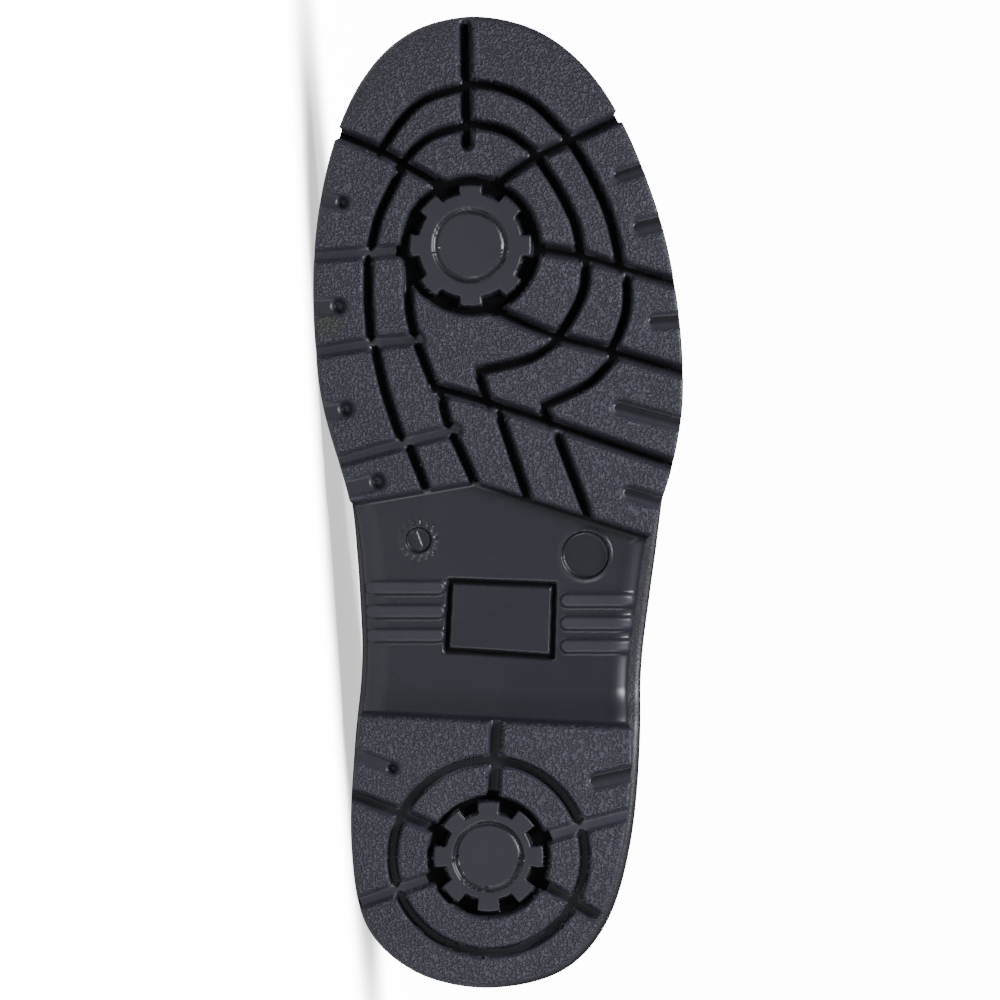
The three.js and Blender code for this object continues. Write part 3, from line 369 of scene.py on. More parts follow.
def tread_fields(x, y):
    """How far in a groove each point lies, its depth, a wheel's sinking, where no grain is, and its painted
    shade.

    The small distances given to smooth are those over which one thing turns into the next.
    """
    rows, spokes, deepest = (np.full(x.shape, -LINE_REACH) for _ in range(3))
    floor = np.full(x.shape, TREAD_DEPTH)
    sink = np.zeros(x.shape)
    plain = np.zeros(x.shape)
    for width, deep, line in ALL_GROOVES:
        s = width / 2 - line_distance(x, y, line)
        if width in (SLIT, SPOKE):
            spokes = np.maximum(spokes, s)
        else:
            rows = np.maximum(rows, s)
        floor = np.where((s > -BESIDE) & (s > deepest), deep, floor)
        deepest = np.maximum(deepest, s)
    cx, cy = ALL_WHEELS[1][0]
    ring = RING / 2 - np.abs(np.hypot(x - cx, y - cy) - HEEL_RING_RADIUS)
    floor = np.where((ring > -BESIDE) & (ring > deepest), HEEL_RING_DEPTH, floor)
    rows = np.maximum(rows, ring)
    inside = rounded_union(rows, spokes)
    across = smooth(spokes - rows, -0.0002, 0.0006)
    depth = moulded_drop(inside, floor, mix(LUG_WALL, SPOKE_WALL, across))
    # Painted shade: groove walls and floors are painted dark, by the groove's depth, where shade falls.
    groove_painted_shade = smooth(inside - 0.0005 * across, -0.0001, 0.0006)
    painted_shade = mix(1, np.interp(floor, *PAINTED_SHADE_BY_DEPTH), groove_painted_shade)
    for (cx, cy), wheel in ALL_WHEELS:
        radius, turn = np.hypot(x - cx, y - cy), np.arctan2(y - cy, x - cx)
        s = np.minimum(wheel["moat"] - radius, radius - wheel_radius(turn, wheel))
        hub = radius < (wheel["teeth"] + wheel["moat"]) / 2
        around = rounded_union(inside, s, MOAT_CORNER)
        moat = np.where(s > -BESIDE, moulded_drop(around, TREAD_DEPTH), 0)
        depth = np.where(hub, moulded_drop(s, TREAD_DEPTH - WHEEL_SINK), np.maximum(depth, moat))
        inside = np.where(hub, s, around)
        recess = WHEEL_DISC_SINK * smooth(wheel["channel"] - radius, -0.0004, 0.0005)
        channel = smooth(radius - wheel["disc"], -0.0003, 0.0006)
        channel = channel * smooth(wheel["channel"] - radius, -0.0003, 0.0006)
        sink += np.where(hub, WHEEL_SINK + recess + (WHEEL_RECESS - WHEEL_DISC_SINK) * channel, 0)
        # The hub's painted shade: the sunk hub is painted darker, more in the channel round its disc, and the
        # moat round it nearly black.
        moulded = WHEEL_PAINTED_SHADE * mix(1, CHANNEL_PAINTED_SHADE, channel)
        beside = ~hub & (s > -0.0015)
        in_moat = np.minimum(painted_shade, mix(1, GROOVE_PAINTED_SHADE, smooth(around, -0.0001, 0.0006)))
        painted_shade = np.where(beside, in_moat, painted_shade)
        painted_shade = np.where(hub, mix(moulded, GROOVE_PAINTED_SHADE, smooth(s, -0.0001, 0.0005)), painted_shade)
        plain = np.maximum(plain, hub)
    for width, line in ALL_NOTCHES:
        s = width / 2 + 0.0004 - line_distance(x, y, line)
        end = width / 2 - np.hypot(x - line[1][0], y - line[1][1])
        (start_x, start_y), (run_x, run_y) = line[0], line[1] - line[0]
        # Painted shade: a notch is painted darker, and on the outer side its toe-side wall, turned from the
        # key light, darker still; there its dent is also deeper.
        toeward = ((x - start_x) * run_y - (y - start_y) * run_x) / np.hypot(run_x, run_y) * np.sign(run_y)
        steep = smooth(toeward, -0.25 * width, 0.3 * width) * (line[1][1] > 0)
        painted_shade = np.minimum(painted_shade, mix(1, mix(NOTCH_PAINTED_SHADE, NOTCH_WALL_PAINTED_SHADE, steep), smooth(s, 0, 0.0010)))
        dent = NOTCH_DENT * mix(1, OUTER_NOTCH_DENT, steep) * smooth(s, -0.0006, 0.0008)
        if line[1][1] < 0:
            dent = dent + NOTCH_DENT * smooth(end, -0.0003, 0.0016)
        depth = np.maximum(depth, dent)
        plain = np.maximum(plain, smooth(s, -0.0010, -0.0002))
    return inside, depth, sink, plain, painted_shade


def waist_fields(x, y):
    """How far a point lies inside the waist, what stands on the waist's floor there, and its painted shade.
    """
    inside = waist_inside(x, y)
    relief, bars = np.zeros(x.shape), np.zeros(x.shape)
    for low, high, places in BARS:
        for place in places:
            line = np.array([on_ball(place, low), on_ball(place, high)])
            s = BAR_WIDTH / 2 - line_distance(x, y, line)
            bar = smooth(s, -0.0002, 0.0008)
            relief -= BAR_PROUD * bar
            bars = np.maximum(bars, bar)
    corners = np.array([on_ball(*p) for p in PLATE_CORNERS + PLATE_CORNERS[:1]])
    frame_inside = PLATE_GROOVE / 2 - line_distance(x, y, corners)
    relief += PLATE_GROOVE_DEPTH * smooth(frame_inside, -0.0002, 0.0004)
    # Painted shade darkens the sunk waist and its plate's framing groove; painted light makes the raised bars
    # lighter.
    painted_shade = WAIST_PAINTED_SHADE * mix(1, BAR_PAINTED_LIGHT, bars)
    painted_shade = painted_shade * mix(1, PLATE_GROOVE_PAINTED_SHADE, smooth(frame_inside, -0.0001, 0.0004))
    for at, radius, deep in ((DISC_AT, DISC_RADIUS, DISC_DEPTH), (DIAL_AT, DIAL_RADIUS, DIAL_DEPTH)):
        cx, cy = on_ball(*at)
        s = radius - np.hypot(x - cx, y - cy)
        # Painted shade darkens the sunk disc and dial, with a dark painted line round each rim.
        line = smooth(DISC_LINE_HALF - np.abs(s), 0, 0.0003)
        painted_shade *= mix(1, DISC_PAINTED_SHADE, smooth(s, 0, 0.0004)) * mix(1, DISC_LINE_PAINTED_SHADE, line)
        ridge = smooth(FRAME_RIDGE_HALF - np.abs(s + FRAME_RIDGE_AT), 0, 0.0005)
        relief += deep * smooth(s, -0.0002, 0.0004) - FRAME_RIDGE * ridge
    cx, cy = on_ball(*DIAL_AT)
    radius, turn = np.hypot(x - cx, y - cy), np.arctan2(y - cy, x - cx)
    from_tick = np.abs((turn / DIAL_TICK + 0.5) % 1 - 0.5) * DIAL_TICK * radius
    tick = smooth(DIAL_LINE_HALF - from_tick, 0, 0.0003)
    tick = tick * smooth(0.0007 - np.abs(radius - DIAL_TICKS_AT), 0, 0.0003)
    pointer = np.array(DIAL_POINTER) + (cx, cy)
    hand = smooth(DIAL_LINE_HALF - line_distance(x, y, pointer), -0.0001, 0.0003)
    relief -= DIAL_LINE_DEPTH * np.maximum(tick, hand)
    return inside, relief, painted_shade


def tread_height(x, y, edge_gap):
    """Height of the outsole's underside, its grain and its painted shade, for points edge_gap in from its
    edge.
    """
    along = x / SOLE_LENGTH
    groove_inside, depth, sink, plain, painted_shade = tread_fields(x, y)
    waist, relief, waist_painted_shade = waist_fields(x, y)
    sunk = moulded_drop(waist, TREAD_DEPTH + waist_rise(along), STEP_WALL) + relief * smooth(waist, 0, 0.001)
    wide, high = edge_round(along, smooth(waist, -0.0003, 0.0010), smooth(-y, *INNER_SIDE))
    lip = high * (1 - np.sqrt(1 - np.clip(1 - edge_gap / wide, 0, 1) ** 2))
    height = tread_face(along) + np.maximum(sunk + lip, np.maximum(depth, np.where(waist > 0, 0, lip)) + sink)
    lug = smooth(-groove_inside, 0.0003, 0.0007) * (1 - plain) * smooth(-waist, 0.0004, 0.0010)
    grain = lug * smooth(edge_gap, 0.0005, 0.0013)
    # Painted shadow: the foot of the step from the forefoot down to the waist is painted dark on the outer
    # half, where the lugs cast shade.
    painted_step_shadow = (1 - smooth(waist, *STEP_SHADOW_REACH)) * smooth(along, *STEP_SHADOW_ALONG)
    painted_step_shadow = painted_step_shadow * smooth(y, *STEP_SHADOW_ACROSS)
    waist_painted_shade = waist_painted_shade * mix(1, STEP_PAINTED_SHADOW, painted_step_shadow)
    return height, grain, mix(painted_shade, waist_painted_shade, smooth(waist, -0.0002, 0.0006))


def snapped(x, y, reach=0.00028):
    """Moves points that lie close to a groove's edge onto it, so that the edges of the lugs run clean."""

    def nearest(px, py):
        groove, waist = tread_fields(px, py)[0], waist_inside(px, py)
        found = np.where((np.abs(groove) < np.abs(waist)) & (waist < 0), groove, waist)
        for (cx, cy), wheel in ALL_WHEELS:
            for ring in (wheel["channel"], wheel["disc"]):
                s = ring - np.hypot(px - cx, py - cy)
                found = np.where(np.abs(s) < np.abs(found), s, found)
        return found

    s = nearest(x, y)
    close = np.abs(s) < reach
    px, py, ps, step = x[close], y[close], s[close], 2e-5
    gx = (nearest(px + step, py) - ps) / step
    gy = (nearest(px, py + step) - ps) / step
    steep = np.maximum(gx * gx + gy * gy, 0.25)
    x, y = x.copy(), y.copy()
    x[close] -= ps * gx / steep
    y[close] -= ps * gy / steep
    return x, y


def even_angles(first, last, count):
    """Angles between two that are evenly spaced along the sole's two edges."""
    fine = np.linspace(first, last, 4000)
    run = np.zeros(fine.shape)
    for side in (1, -1):
        x, y = outline(side * fine)
        run[1:] += np.cumsum(np.hypot(np.diff(x), np.diff(y)))
    return np.interp(np.linspace(0, run[-1], count + 1), run, fine)


def shaped_grid(columns, rows, place, layers=()):
    """A grid of faces, joined where they meet. place gives its points, and their values in each layer."""
    bm = bmesh.new()
    bmesh.ops.create_grid(bm, x_segments=columns, y_segments=rows, size=0.5)
    flat = np.array([vert.co[:2] for vert in bm.verts]) + 0.5
    points, *values = place(np.rint(flat[:, 0] * columns).astype(int), np.rint(flat[:, 1] * rows).astype(int))
    for vert, point in zip(bm.verts, points):
        vert.co = point
    for name, value in zip(layers, values):
        layer = bm.verts.layers.float.new(name)
        for vert, number in zip(bm.verts, value):
            vert[layer] = number
    bmesh.ops.remove_doubles(bm, verts=bm.verts, dist=1e-6)
    return bm


def finished(name, bm, material, slot, *replaced, closed=True):
    """Makes the object of a shaped piece, laid down with the boot, and hides the imported parts it replaces.
    """
    if closed:
        bmesh.ops.recalc_face_normals(bm, faces=bm.faces)
    bm.transform(lying)
    mesh = bpy.data.meshes.new(name)
    bm.to_mesh(mesh)
    bm.free()
    mesh.materials.append(material)
    mesh.polygons.foreach_set("use_smooth", [True] * len(mesh.polygons))
    piece = bpy.data.objects.new(name, mesh)
    bpy.context.scene.collection.objects.link(piece)
    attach(piece, "root")
    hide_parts(*replaced)
    return piece


def close_ends(bm):
    """Fills the open ends of a tube or cup, and gives back the edges round them."""
    ends = [edge for edge in bm.edges if edge.is_boundary]
    bmesh.ops.holes_fill(bm, edges=ends, sides=0)
    return ends


# The mesh has RINGS rings from the sole's middle line nearly to its edge, finer ones at the gaps from the
# edge that are listed, and then rows at shares of its wall's height. The two meshes meet at MESH_JOINT of
# its length.
RINGS = 98
EDGE_GAPS = (0.0036, 0.0024, 0.0014, 0.0007, 0.0002, 0.0)
WALL_SHARES = (0.08, 0.2, 0.34, 0.48, 0.56, 0.64, 0.74, 0.87, 1.0)
MESH_JOINT = 0.325
MIDDLE_LINE = ((0, MESH_JOINT, 1), (0.042, MESH_JOINT * SOLE_LENGTH, 0.250))
FORE_COLUMNS, HEEL_COLUMNS = 420, 320


def middle_of(along):
    """The place on the sole's middle line that the rings at an edge close on."""
    x = np.interp(along, *MIDDLE_LINE)
    angle = np.arccos(1 - 2 * x / SOLE_LENGTH)
    return x, (edge_share(angle) + edge_share(-angle)) / 2 * half_local(x / SOLE_LENGTH)


def tuck_of(along, angle):
    """How far the outsole stands back under the midsole's rim."""
    outward = smooth(np.sin(angle), -0.5, 0.5)
    heel = mix(HEEL_TUCK["inner"], HEEL_TUCK["outer"], outward)
    waist = mix(WAIST_TUCK["inner"], WAIST_TUCK["outer"], outward)
    return mix(heel, waist, smooth(along, *HEEL_END)) * (1 - smooth(along, *FOREPART_START))


def outsole_points(angles, column, row):
    """Points of a stretch of the outsole, from its middle line to its edge, up its wall and back on top."""
    angle = angles[column]
    along = along_at(angle)
    bare_x, bare_y = outline(angle)
    belongs = smooth(waist_inside(bare_x, bare_y), -0.0003, 0.0010)
    cut = smooth(tread_fields(bare_x, bare_y)[1], *CUT_DEPTHS) * smooth(np.abs(along - CUT_FROM), *CUT_ENDS)
    tuck = tuck_of(along, angle) + TREAD_LIP * belongs + RIM_CUT * cut
    edge_x, edge_y = outline(angle, tuck)
    axis_x, axis_y = middle_of(along)
    reach = np.hypot(edge_x - axis_x, edge_y - axis_y)

    gaps = np.array(EDGE_GAPS)
    last_ring = RINGS + len(gaps) - 1
    below = row <= last_ring
    outer_gap = gaps[np.clip(row - RINGS, 0, len(gaps) - 1)]
    gap = np.where(row < RINGS, mix(reach, gaps[0], row / RINGS), outer_gap)
    gap = np.where(below, gap, 0)
    x = mix(edge_x, axis_x, gap / reach)
    y = mix(edge_y, axis_y, gap / reach)
    inner = below & (row < RINGS)
    x[inner], y[inner] = snapped(x[inner], y[inner])

    wall = np.array(WALL_SHARES)
    share = wall[np.clip(row - last_ring - 1, 0, len(wall) - 1)]
    start = moulded_drop(waist_inside(edge_x, edge_y), TREAD_DEPTH + waist_rise(along), STEP_WALL)
    start = start + edge_round(along, belongs, smooth(-edge_y, *INNER_SIDE))[1]
    top = sole_joint(along) - tread_face(along)
    rise = mix(start, top, share)
    on_wall = row > last_ring
    lip = TREAD_LIP * (1 - belongs) * smooth(rise, 0.0038, 0.0044)
    wall_x, wall_y = outline(angle, tuck + lip)
    x, y = np.where(on_wall, wall_x, x), np.where(on_wall, wall_y, y)

    height, grain, painted_shade = tread_height(x, y, gap)
    depth = tread_fields(x, y)[1]
    wall_height = tread_face(along) + np.maximum(rise, depth)
    height = np.where(on_wall, np.minimum(wall_height, sole_joint(along)), height)
    cap = row == last_ring + len(wall) + 1
    x, y = np.where(cap, axis_x, x), np.where(cap, axis_y, y)
    height = np.where(cap, sole_joint(axis_x / SOLE_LENGTH), height)
    grain = np.where(on_wall, 0, grain)
    # Painted shade: the side wall's shade is taken darker up towards the midsole.
    painted_shade = np.where(on_wall, mix(painted_shade, 0.7, share), painted_shade)
    return np.column_stack((x, y, height)), grain, painted_shade


def feed(tree, socket, value):
    """Links a socket to the output given for it, or sets it to a value."""
    if isinstance(value, bpy.types.NodeSocket):
        tree.links.new(value, socket)
    else:
        socket.default_value = value


def node(tree, kind, values=None, **settings):
    """A node with its settings, and its inputs fed with values or with other nodes' outputs."""
    made = tree.nodes.new(kind)
    for key, value in settings.items():
        setattr(made, key, value)
    for key, value in (values or {}).items():
        named = [socket for socket in made.inputs if socket.enabled and socket.name == key]
        feed(tree, named[0] if named else made.inputs[key], value)
    return made


def calculated(tree, operation, *values):
    return node(tree, "ShaderNodeMath", dict(enumerate(values)), operation=operation).outputs[0]


def vector_result(tree, operation, *values, result="Vector"):
    return node(tree, "ShaderNodeVectorMath", dict(enumerate(values)), operation=operation).outputs[result]


def remapped(tree, value, before=(0.0, 1.0), after=(0.0, 1.0), curve="LINEAR"):
    """A value taken from one range to another, and held within it."""
    (low, high), (to_low, to_high) = before, after
    values = {"Value": value, "From Min": low, "From Max": high, "To Min": to_low, "To Max": to_high}
    return node(tree, "ShaderNodeMapRange", values, interpolation_type=curve).outputs["Result"]


def colour_ramp(tree, factor, stops):
    ramp = node(tree, "ShaderNodeValToRGB", {"Fac": factor})
    while len(ramp.color_ramp.elements) < len(stops):
        ramp.color_ramp.elements.new(0.5)
    for element, (place, colour) in zip(ramp.color_ramp.elements, stops):
        element.position = place
        element.color = (*colour, 1)
    return ramp.outputs["Color"]


def tinted(tree, share, under, over):
    """One colour laid over another by a share."""
    mixed = node(tree, "ShaderNodeMix", {"Factor": share, "A": under, "B": over}, data_type="RGBA")
    return mixed.outputs["Result"]


def own_place(tree):
    return node(tree, "ShaderNodeTexCoord").outputs["Object"]


def layer_value(tree, name):
    return node(tree, "ShaderNodeAttribute", attribute_name=name).outputs["Fac"]


def new_material(name):
    """An empty node material and the Principled shader that its surface ends in."""
    material = bpy.data.materials.new(name)
    material.use_nodes = True
    return material, material.node_tree, material.node_tree.nodes["Principled BSDF"]


def surface(tree, shader, colour, roughness, relief=None, strength=0.0, distance=0.0):
    """Feeds a shader its colour and roughness and, where there is a relief, the bumps that follow it."""
    feed(tree, shader.inputs["Base Color"], colour)
    feed(tree, shader.inputs["Roughness"], roughness)
    if relief is not None:
        bump = node(tree, "ShaderNodeBump", {"Height": relief, "Strength": strength, "Distance": distance})
        feed(tree, shader.inputs["Normal"], bump.outputs["Normal"])


def grain_group():
    """Grain of rubber or leather: Height of worm-like cells, and Fleck, a slow change over them."""
    tree = bpy.data.node_groups.new("pebble_grain", "ShaderNodeTree")
    for name, way in (("Size", "INPUT"), ("Height", "OUTPUT"), ("Fleck", "OUTPUT")):
        tree.interface.new_socket(name=name, in_out=way, socket_type="NodeSocketFloat")
    inlet, outlet = tree.nodes.new("NodeGroupInput"), tree.nodes.new("NodeGroupOutput")
    place = own_place(tree)
    per_metre = calculated(tree, "DIVIDE", 1.0, inlet.outputs["Size"])
    cells = {"Vector": place, "Scale": per_metre, "Detail": 0.0, "Roughness": 0.5, "Distortion": 0.6}
    worms = node(tree, "ShaderNodeTexNoise", cells).outputs["Fac"]
    slow = {"Vector": place, "Scale": 55.0, "Detail": 4.0, "Roughness": 0.6}
    feed(tree, outlet.inputs["Height"], remapped(tree, worms, (0.34, 0.66), curve="SMOOTHSTEP"))
    feed(tree, outlet.inputs["Fleck"], node(tree, "ShaderNodeTexNoise", slow).outputs["Fac"])
    return tree


pebble_grain = grain_group()


def pebbles(tree, size):
    return node(tree, "ShaderNodeGroup", {"Size": size}, node_tree=pebble_grain).outputs


RUBBER_GRAIN, RUBBER_BUMP = 0.00078, 0.0007
RUBBER_TONES = ((0.3, (0.0260, 0.0255, 0.0350)), (0.7, (0.0325, 0.0320, 0.0420)))
DUST_SPECKS, DUST_SIZE, DUST_SHARE, DUST_TONE = 330.0, (0.075, 0.03), 0.25, (0.10, 0.10, 0.11, 1)
STAIN_AT, STAIN_EDGE, STAIN_SHARE = (0.2042, -0.0505, 0), (0.0055, 0.002), 0.5
STAIN_TONE = (0.032, 0.034, 0.018, 1)


def outsole_rubber():
    """Rubber, dull on the lugs and smoother where it has no grain, with painted shade making it nearly black
    in the grooves.
    """
    material, tree, shader = new_material("outsole_rubber")
    grain, painted_shade, place = layer_value(tree, "grain"), layer_value(tree, "painted_shade"), own_place(tree)
    cells = pebbles(tree, RUBBER_GRAIN)
    tone = colour_ramp(tree, cells["Fleck"], RUBBER_TONES)
    # Painted shade in the grain: its hollows are painted darker and its tops lighter, on the lugs.
    hollow = remapped(tree, cells["Height"], after=(0.65, 1.25))
    grain_painted_shade = node(tree, "ShaderNodeMix", {"Factor": grain, "A": 1.0, "B": hollow}).outputs["Result"]
    # The colour is multiplied by the painted shade.
    shaded = calculated(tree, "MULTIPLY", grain_painted_shade, painted_shade)
    scaled = {0: tone, "Scale": shaded}
    colour = node(tree, "ShaderNodeVectorMath", scaled, operation="SCALE").outputs["Vector"]
    specks = node(tree, "ShaderNodeTexVoronoi", {"Vector": place, "Scale": DUST_SPECKS}).outputs["Distance"]
    dusty = tinted(tree, remapped(tree, specks, DUST_SIZE, (0, DUST_SHARE)), colour, DUST_TONE)
    from_stain = vector_result(tree, "DISTANCE", place, lying @ Vector(STAIN_AT), result="Value")
    stain = remapped(tree, from_stain, STAIN_EDGE, (0, STAIN_SHARE), "SMOOTHSTEP")
    in_groove = remapped(tree, painted_shade, (0, 0.3), (0.9, 0.33))
    in_waist = remapped(tree, painted_shade, (0.44, 0.52), (0, 0.13))
    rough = calculated(tree, "MULTIPLY_ADD", grain, 0.08, calculated(tree, "ADD", in_groove, in_waist))
    # Painted shade also turns down the rubber's reflection where it is painted dark.
    feed(tree, shader.inputs["Specular IOR Level"], remapped(tree, painted_shade, (0, 0.33), (0.06, 0.4)))
    raised = calculated(tree, "MULTIPLY", cells["Height"], grain)
    stained = tinted(tree, stain, dusty, STAIN_TONE)
    surface(tree, shader, stained, rough, raised, strength=1.0, distance=RUBBER_BUMP)
    return material


rubber = outsole_rubber()
split = math.acos(1 - 2 * MESH_JOINT)
half_fore = even_angles(split, math.pi, FORE_COLUMNS)
half_heel = even_angles(0, split, HEEL_COLUMNS)
outsole_rows = RINGS + len(EDGE_GAPS) - 1 + len(WALL_SHARES) + 1
for name, angles in (
    ("outsole_forepart", np.concatenate((half_fore, 2 * math.pi - half_fore[-2::-1]))),
    ("outsole_heel", np.concatenate((-half_heel[:0:-1], half_heel))),
):
    moulding = shaped_grid(
        len(angles) - 1, outsole_rows, lambda i, j: outsole_points(angles, i, j), ("grain", "painted_shade")
    )
    for edge in close_ends(moulding):
        edge.smooth = False
    finished(name, moulding, rubber, "outsole_rubber", "outsole")

# Midsole: one block of black foam, moulded and cemented between outsole and upper. Its rim stands out low
# down, where it shows beside the outsole's waist and heel, and a thin line is moulded round its step.
MIDSOLE_COLUMNS = 420
FOAM_GRAIN, FOAM_TONES = 0.0006, ((0.3, (0.011, 0.011, 0.013)), (0.7, (0.017, 0.017, 0.020)))

# The profile is the share of the midsole's height, how far it stands in at the heel and how far at the
# forefoot.
MIDSOLE_PROFILE = (
    (0.00, 0.0021, 0.0019), (0.03, 0.0008, 0.0013), (0.08, 0.0002, 0.0010), (0.14, 0.0000, 0.0009),
    (0.24, 0.0000, 0.0009), (0.33, 0.0000, 0.0009), (0.37, 0.0003, 0.0011), (0.41, 0.0011, 0.0017),
    (0.46, 0.0017, 0.0021), (0.52, 0.0018, 0.0022), (0.60, 0.0018, 0.0022), (0.64, 0.0018, 0.0022),
    (0.66, 0.0024, 0.0028), (0.68, 0.0024, 0.0028), (0.70, 0.0018, 0.0022), (0.78, 0.0018, 0.0022),
    (0.86, 0.0018, 0.0022), (0.93, 0.0020, 0.0023), (0.98, 0.0025, 0.0026), (1.00, 0.0030, 0.0030),
)


def midsole_points(column, row):
    angle = 2 * np.pi * column / MIDSOLE_COLUMNS
    profile = np.array(MIDSOLE_PROFILE)[np.clip(row - 1, 0, len(MIDSOLE_PROFILE) - 1)]
    fore = smooth(along_at(angle), *FOREPART_START)
    x, y = outline(angle, mix(profile[:, 1], profile[:, 2], fore))
    low = sole_joint(x / SOLE_LENGTH) + SLIP_GAP
    height = mix(low, sole_top(x / SOLE_LENGTH), profile[:, 0])
    middle = (row == 0) | (row == len(MIDSOLE_PROFILE) + 1)
    axis_x, axis_y = middle_of(along_at(angle))
    axis_share = axis_x / SOLE_LENGTH
    cap = np.where(row == 0, sole_joint(axis_share) + SLIP_GAP, sole_top(axis_share))
    x, y = np.where(middle, axis_x, x), np.where(middle, axis_y, y)
    return (np.column_stack((x, y, np.where(middle, cap, height))),)


def midsole_foam():
    material, tree, shader = new_material("midsole_foam")
    cells = pebbles(tree, FOAM_GRAIN)
    tone = colour_ramp(tree, cells["Fleck"], FOAM_TONES)
    surface(tree, shader, tone, 0.42, cells["Height"], strength=0.35, distance=0.0001)
    return material


midsole_body = shaped_grid(MIDSOLE_COLUMNS, len(MIDSOLE_PROFILE) + 1, midsole_points)
finished("midsole_moulding", midsole_body, midsole_foam(), "midsole_foam", "midsole")

# Upper: black full-grain leather, cut in panels, sewn, pulled over a last and cemented to the midsole. The
# vamp's leather runs underneath and has the lining on its inner face, and the quarters, the facings, the
# heel counter and the backstay lie over it.
UPPER_HEIGHT = 0.120
ANKLE_WIDTH = 0.080
COLLAR_DIP = 0.005
COLLAR_ROW, THROAT_ROW = 13.0, 6.9
THROAT_WIDTH = (0.018, 0.027)
THROAT_FOOT = 0.6
QUARTER_SLANT, QUARTER_SLANT_CURVE, QUARTER_LIMIT = (1.72, 2.9), 1.6, 2.3
SUNK, THROAT_CLEAR = 0.0001, 0.0001
LEATHER, QUARTER_STEP = 0.0024, 0.0011
OVAL_POWER = 2.2
CREASES = ((3.9, 0.0005, 0.10), (4.5, 0.0007, 0.13), (5.2, 0.0006, 0.12), (5.8, 0.0003, 0.10))
LEATHER_GRAIN, LEATHER_PORES, LINING_HOLES = 0.0010, 900.0, 520.0
LEATHER_TONES = ((0.3, (0.008, 0.008, 0.009)), (0.7, (0.014, 0.014, 0.015)))
LINING_TONES = ((0.0, (0.010, 0.010, 0.011)), (0.8, (0.045, 0.045, 0.048)))

# Rows go up from the sole to the collar, and angles round from the heel by the outer side. A row is the
# place and the rise of its back, the place and the rise of its front, its shares of the sole's outline and
# of the ankle's oval, and how far it has changed from the one to the other. Each panel sinks by SUNK into
# what lies under it.
UPPER_ROWS = (
    (0.022, 0.000, 0.978, 0.000, 0.925, 1.00, 0.00),
    (0.013, 0.080, 0.985, 0.100, 0.935, 1.00, 0.00),
    (0.010, 0.167, 0.970, 0.208, 0.900, 1.00, 0.05),
    (0.012, 0.250, 0.930, 0.304, 0.830, 1.00, 0.12),
    (0.017, 0.325, 0.870, 0.375, 0.760, 1.00, 0.22),
    (0.023, 0.400, 0.800, 0.442, 0.700, 0.97, 0.36),
    (0.032, 0.475, 0.727, 0.508, 0.660, 0.94, 0.52),
    (0.038, 0.550, 0.657, 0.575, 0.630, 0.92, 0.70),
    (0.043, 0.625, 0.593, 0.644, 0.600, 0.92, 0.86),
    (0.045, 0.700, 0.533, 0.719, 0.600, 0.93, 0.97),
    (0.045, 0.775, 0.487, 0.805, 0.600, 0.95, 1.00),
    (0.043, 0.850, 0.453, 0.906, 0.600, 0.98, 1.00),
    (0.040, 0.925, 0.430, 1.017, 0.600, 1.03, 1.00),
    (0.037, 1.000, 0.417, 1.130, 0.600, 1.04, 1.00),
    (0.033, 1.075, 0.407, 1.242, 0.600, 1.02, 1.00),
)


def upper_columns(row):
    """The columns of the upper's table at heights given in rows."""
    table = np.array(UPPER_ROWS)
    table = np.vstack((2 * table[0] - table[1], table, 2 * table[-1] - table[-2]))
    first = np.clip(np.floor(row).astype(int), 0, len(UPPER_ROWS) - 2)
    a, b, c, d = (table[first + step].T for step in range(4))
    return smooth_between(a, b, c, d, row - first)


def bare_upper(angle, row):
    """Places on the vamp's outer face, before anything is laid on it."""
    back_x, back_rise, front_x, front_rise, outline_share, ankle_share, oval_share = upper_columns(row)
    share = along_at(angle)
    x = SOLE_LENGTH * mix(back_x, front_x, share)
    dip = COLLAR_DIP * np.sin(angle) ** 2 * np.clip(row / COLLAR_ROW, 0, 1) ** 6
    flat = edge_share(angle) * half_local(share) * outline_share
    oval = np.sign(np.sin(angle)) * (1 - np.abs(np.cos(angle)) ** OVAL_POWER) ** (1 / OVAL_POWER)
    y = mix(flat, oval * ankle_share * ANKLE_WIDTH / 2, oval_share)
    rise = UPPER_HEIGHT * mix(back_rise, front_rise, share) - dip
    return np.stack((x, y, sole_top(x / SOLE_LENGTH) + SLIP_GAP + rise), axis=-1)


def upper_normal(angle, row):
    """Which way the upper faces outwards at each place, level at its foot."""
    step = 0.01
    round_it = bare_upper(angle + step, row) - bare_upper(angle - step, row)
    up_it = bare_upper(angle, row + step) - bare_upper(angle, row - step)
    normal = np.cross(up_it, round_it)
    normal[..., 2] *= smooth(row, -0.2, 0.3)
    return normal / np.linalg.norm(normal, axis=-1, keepdims=True)


def upper_form(angle, row, offset):
    """Places that lie an offset outwards of the vamp's outer face."""
    angle, row, offset = np.broadcast_arrays(np.asarray(angle, float), np.asarray(row, float), offset)
    return bare_upper(angle, row) + offset[..., None] * upper_normal(angle, row)


def angle_at(row, half_width):
    """The angle, on the outer side of the instep, where the form is a given distance from the middle."""
    row, half_width = np.broadcast_arrays(np.asarray(row, float), np.asarray(half_width, float))
    low, high = np.full(row.shape, np.pi / 2), np.full(row.shape, np.pi)
    for _ in range(30):
        middle = (low + high) / 2
        wide = bare_upper(middle, row)[..., 1] > half_width
        low, high = np.where(wide, middle, low), np.where(wide, high, middle)
    return low


def throat_half(row):
    share = np.clip((row - THROAT_ROW) / (COLLAR_ROW - THROAT_ROW), 0, 1)
    return mix(*THROAT_WIDTH, share) / 2


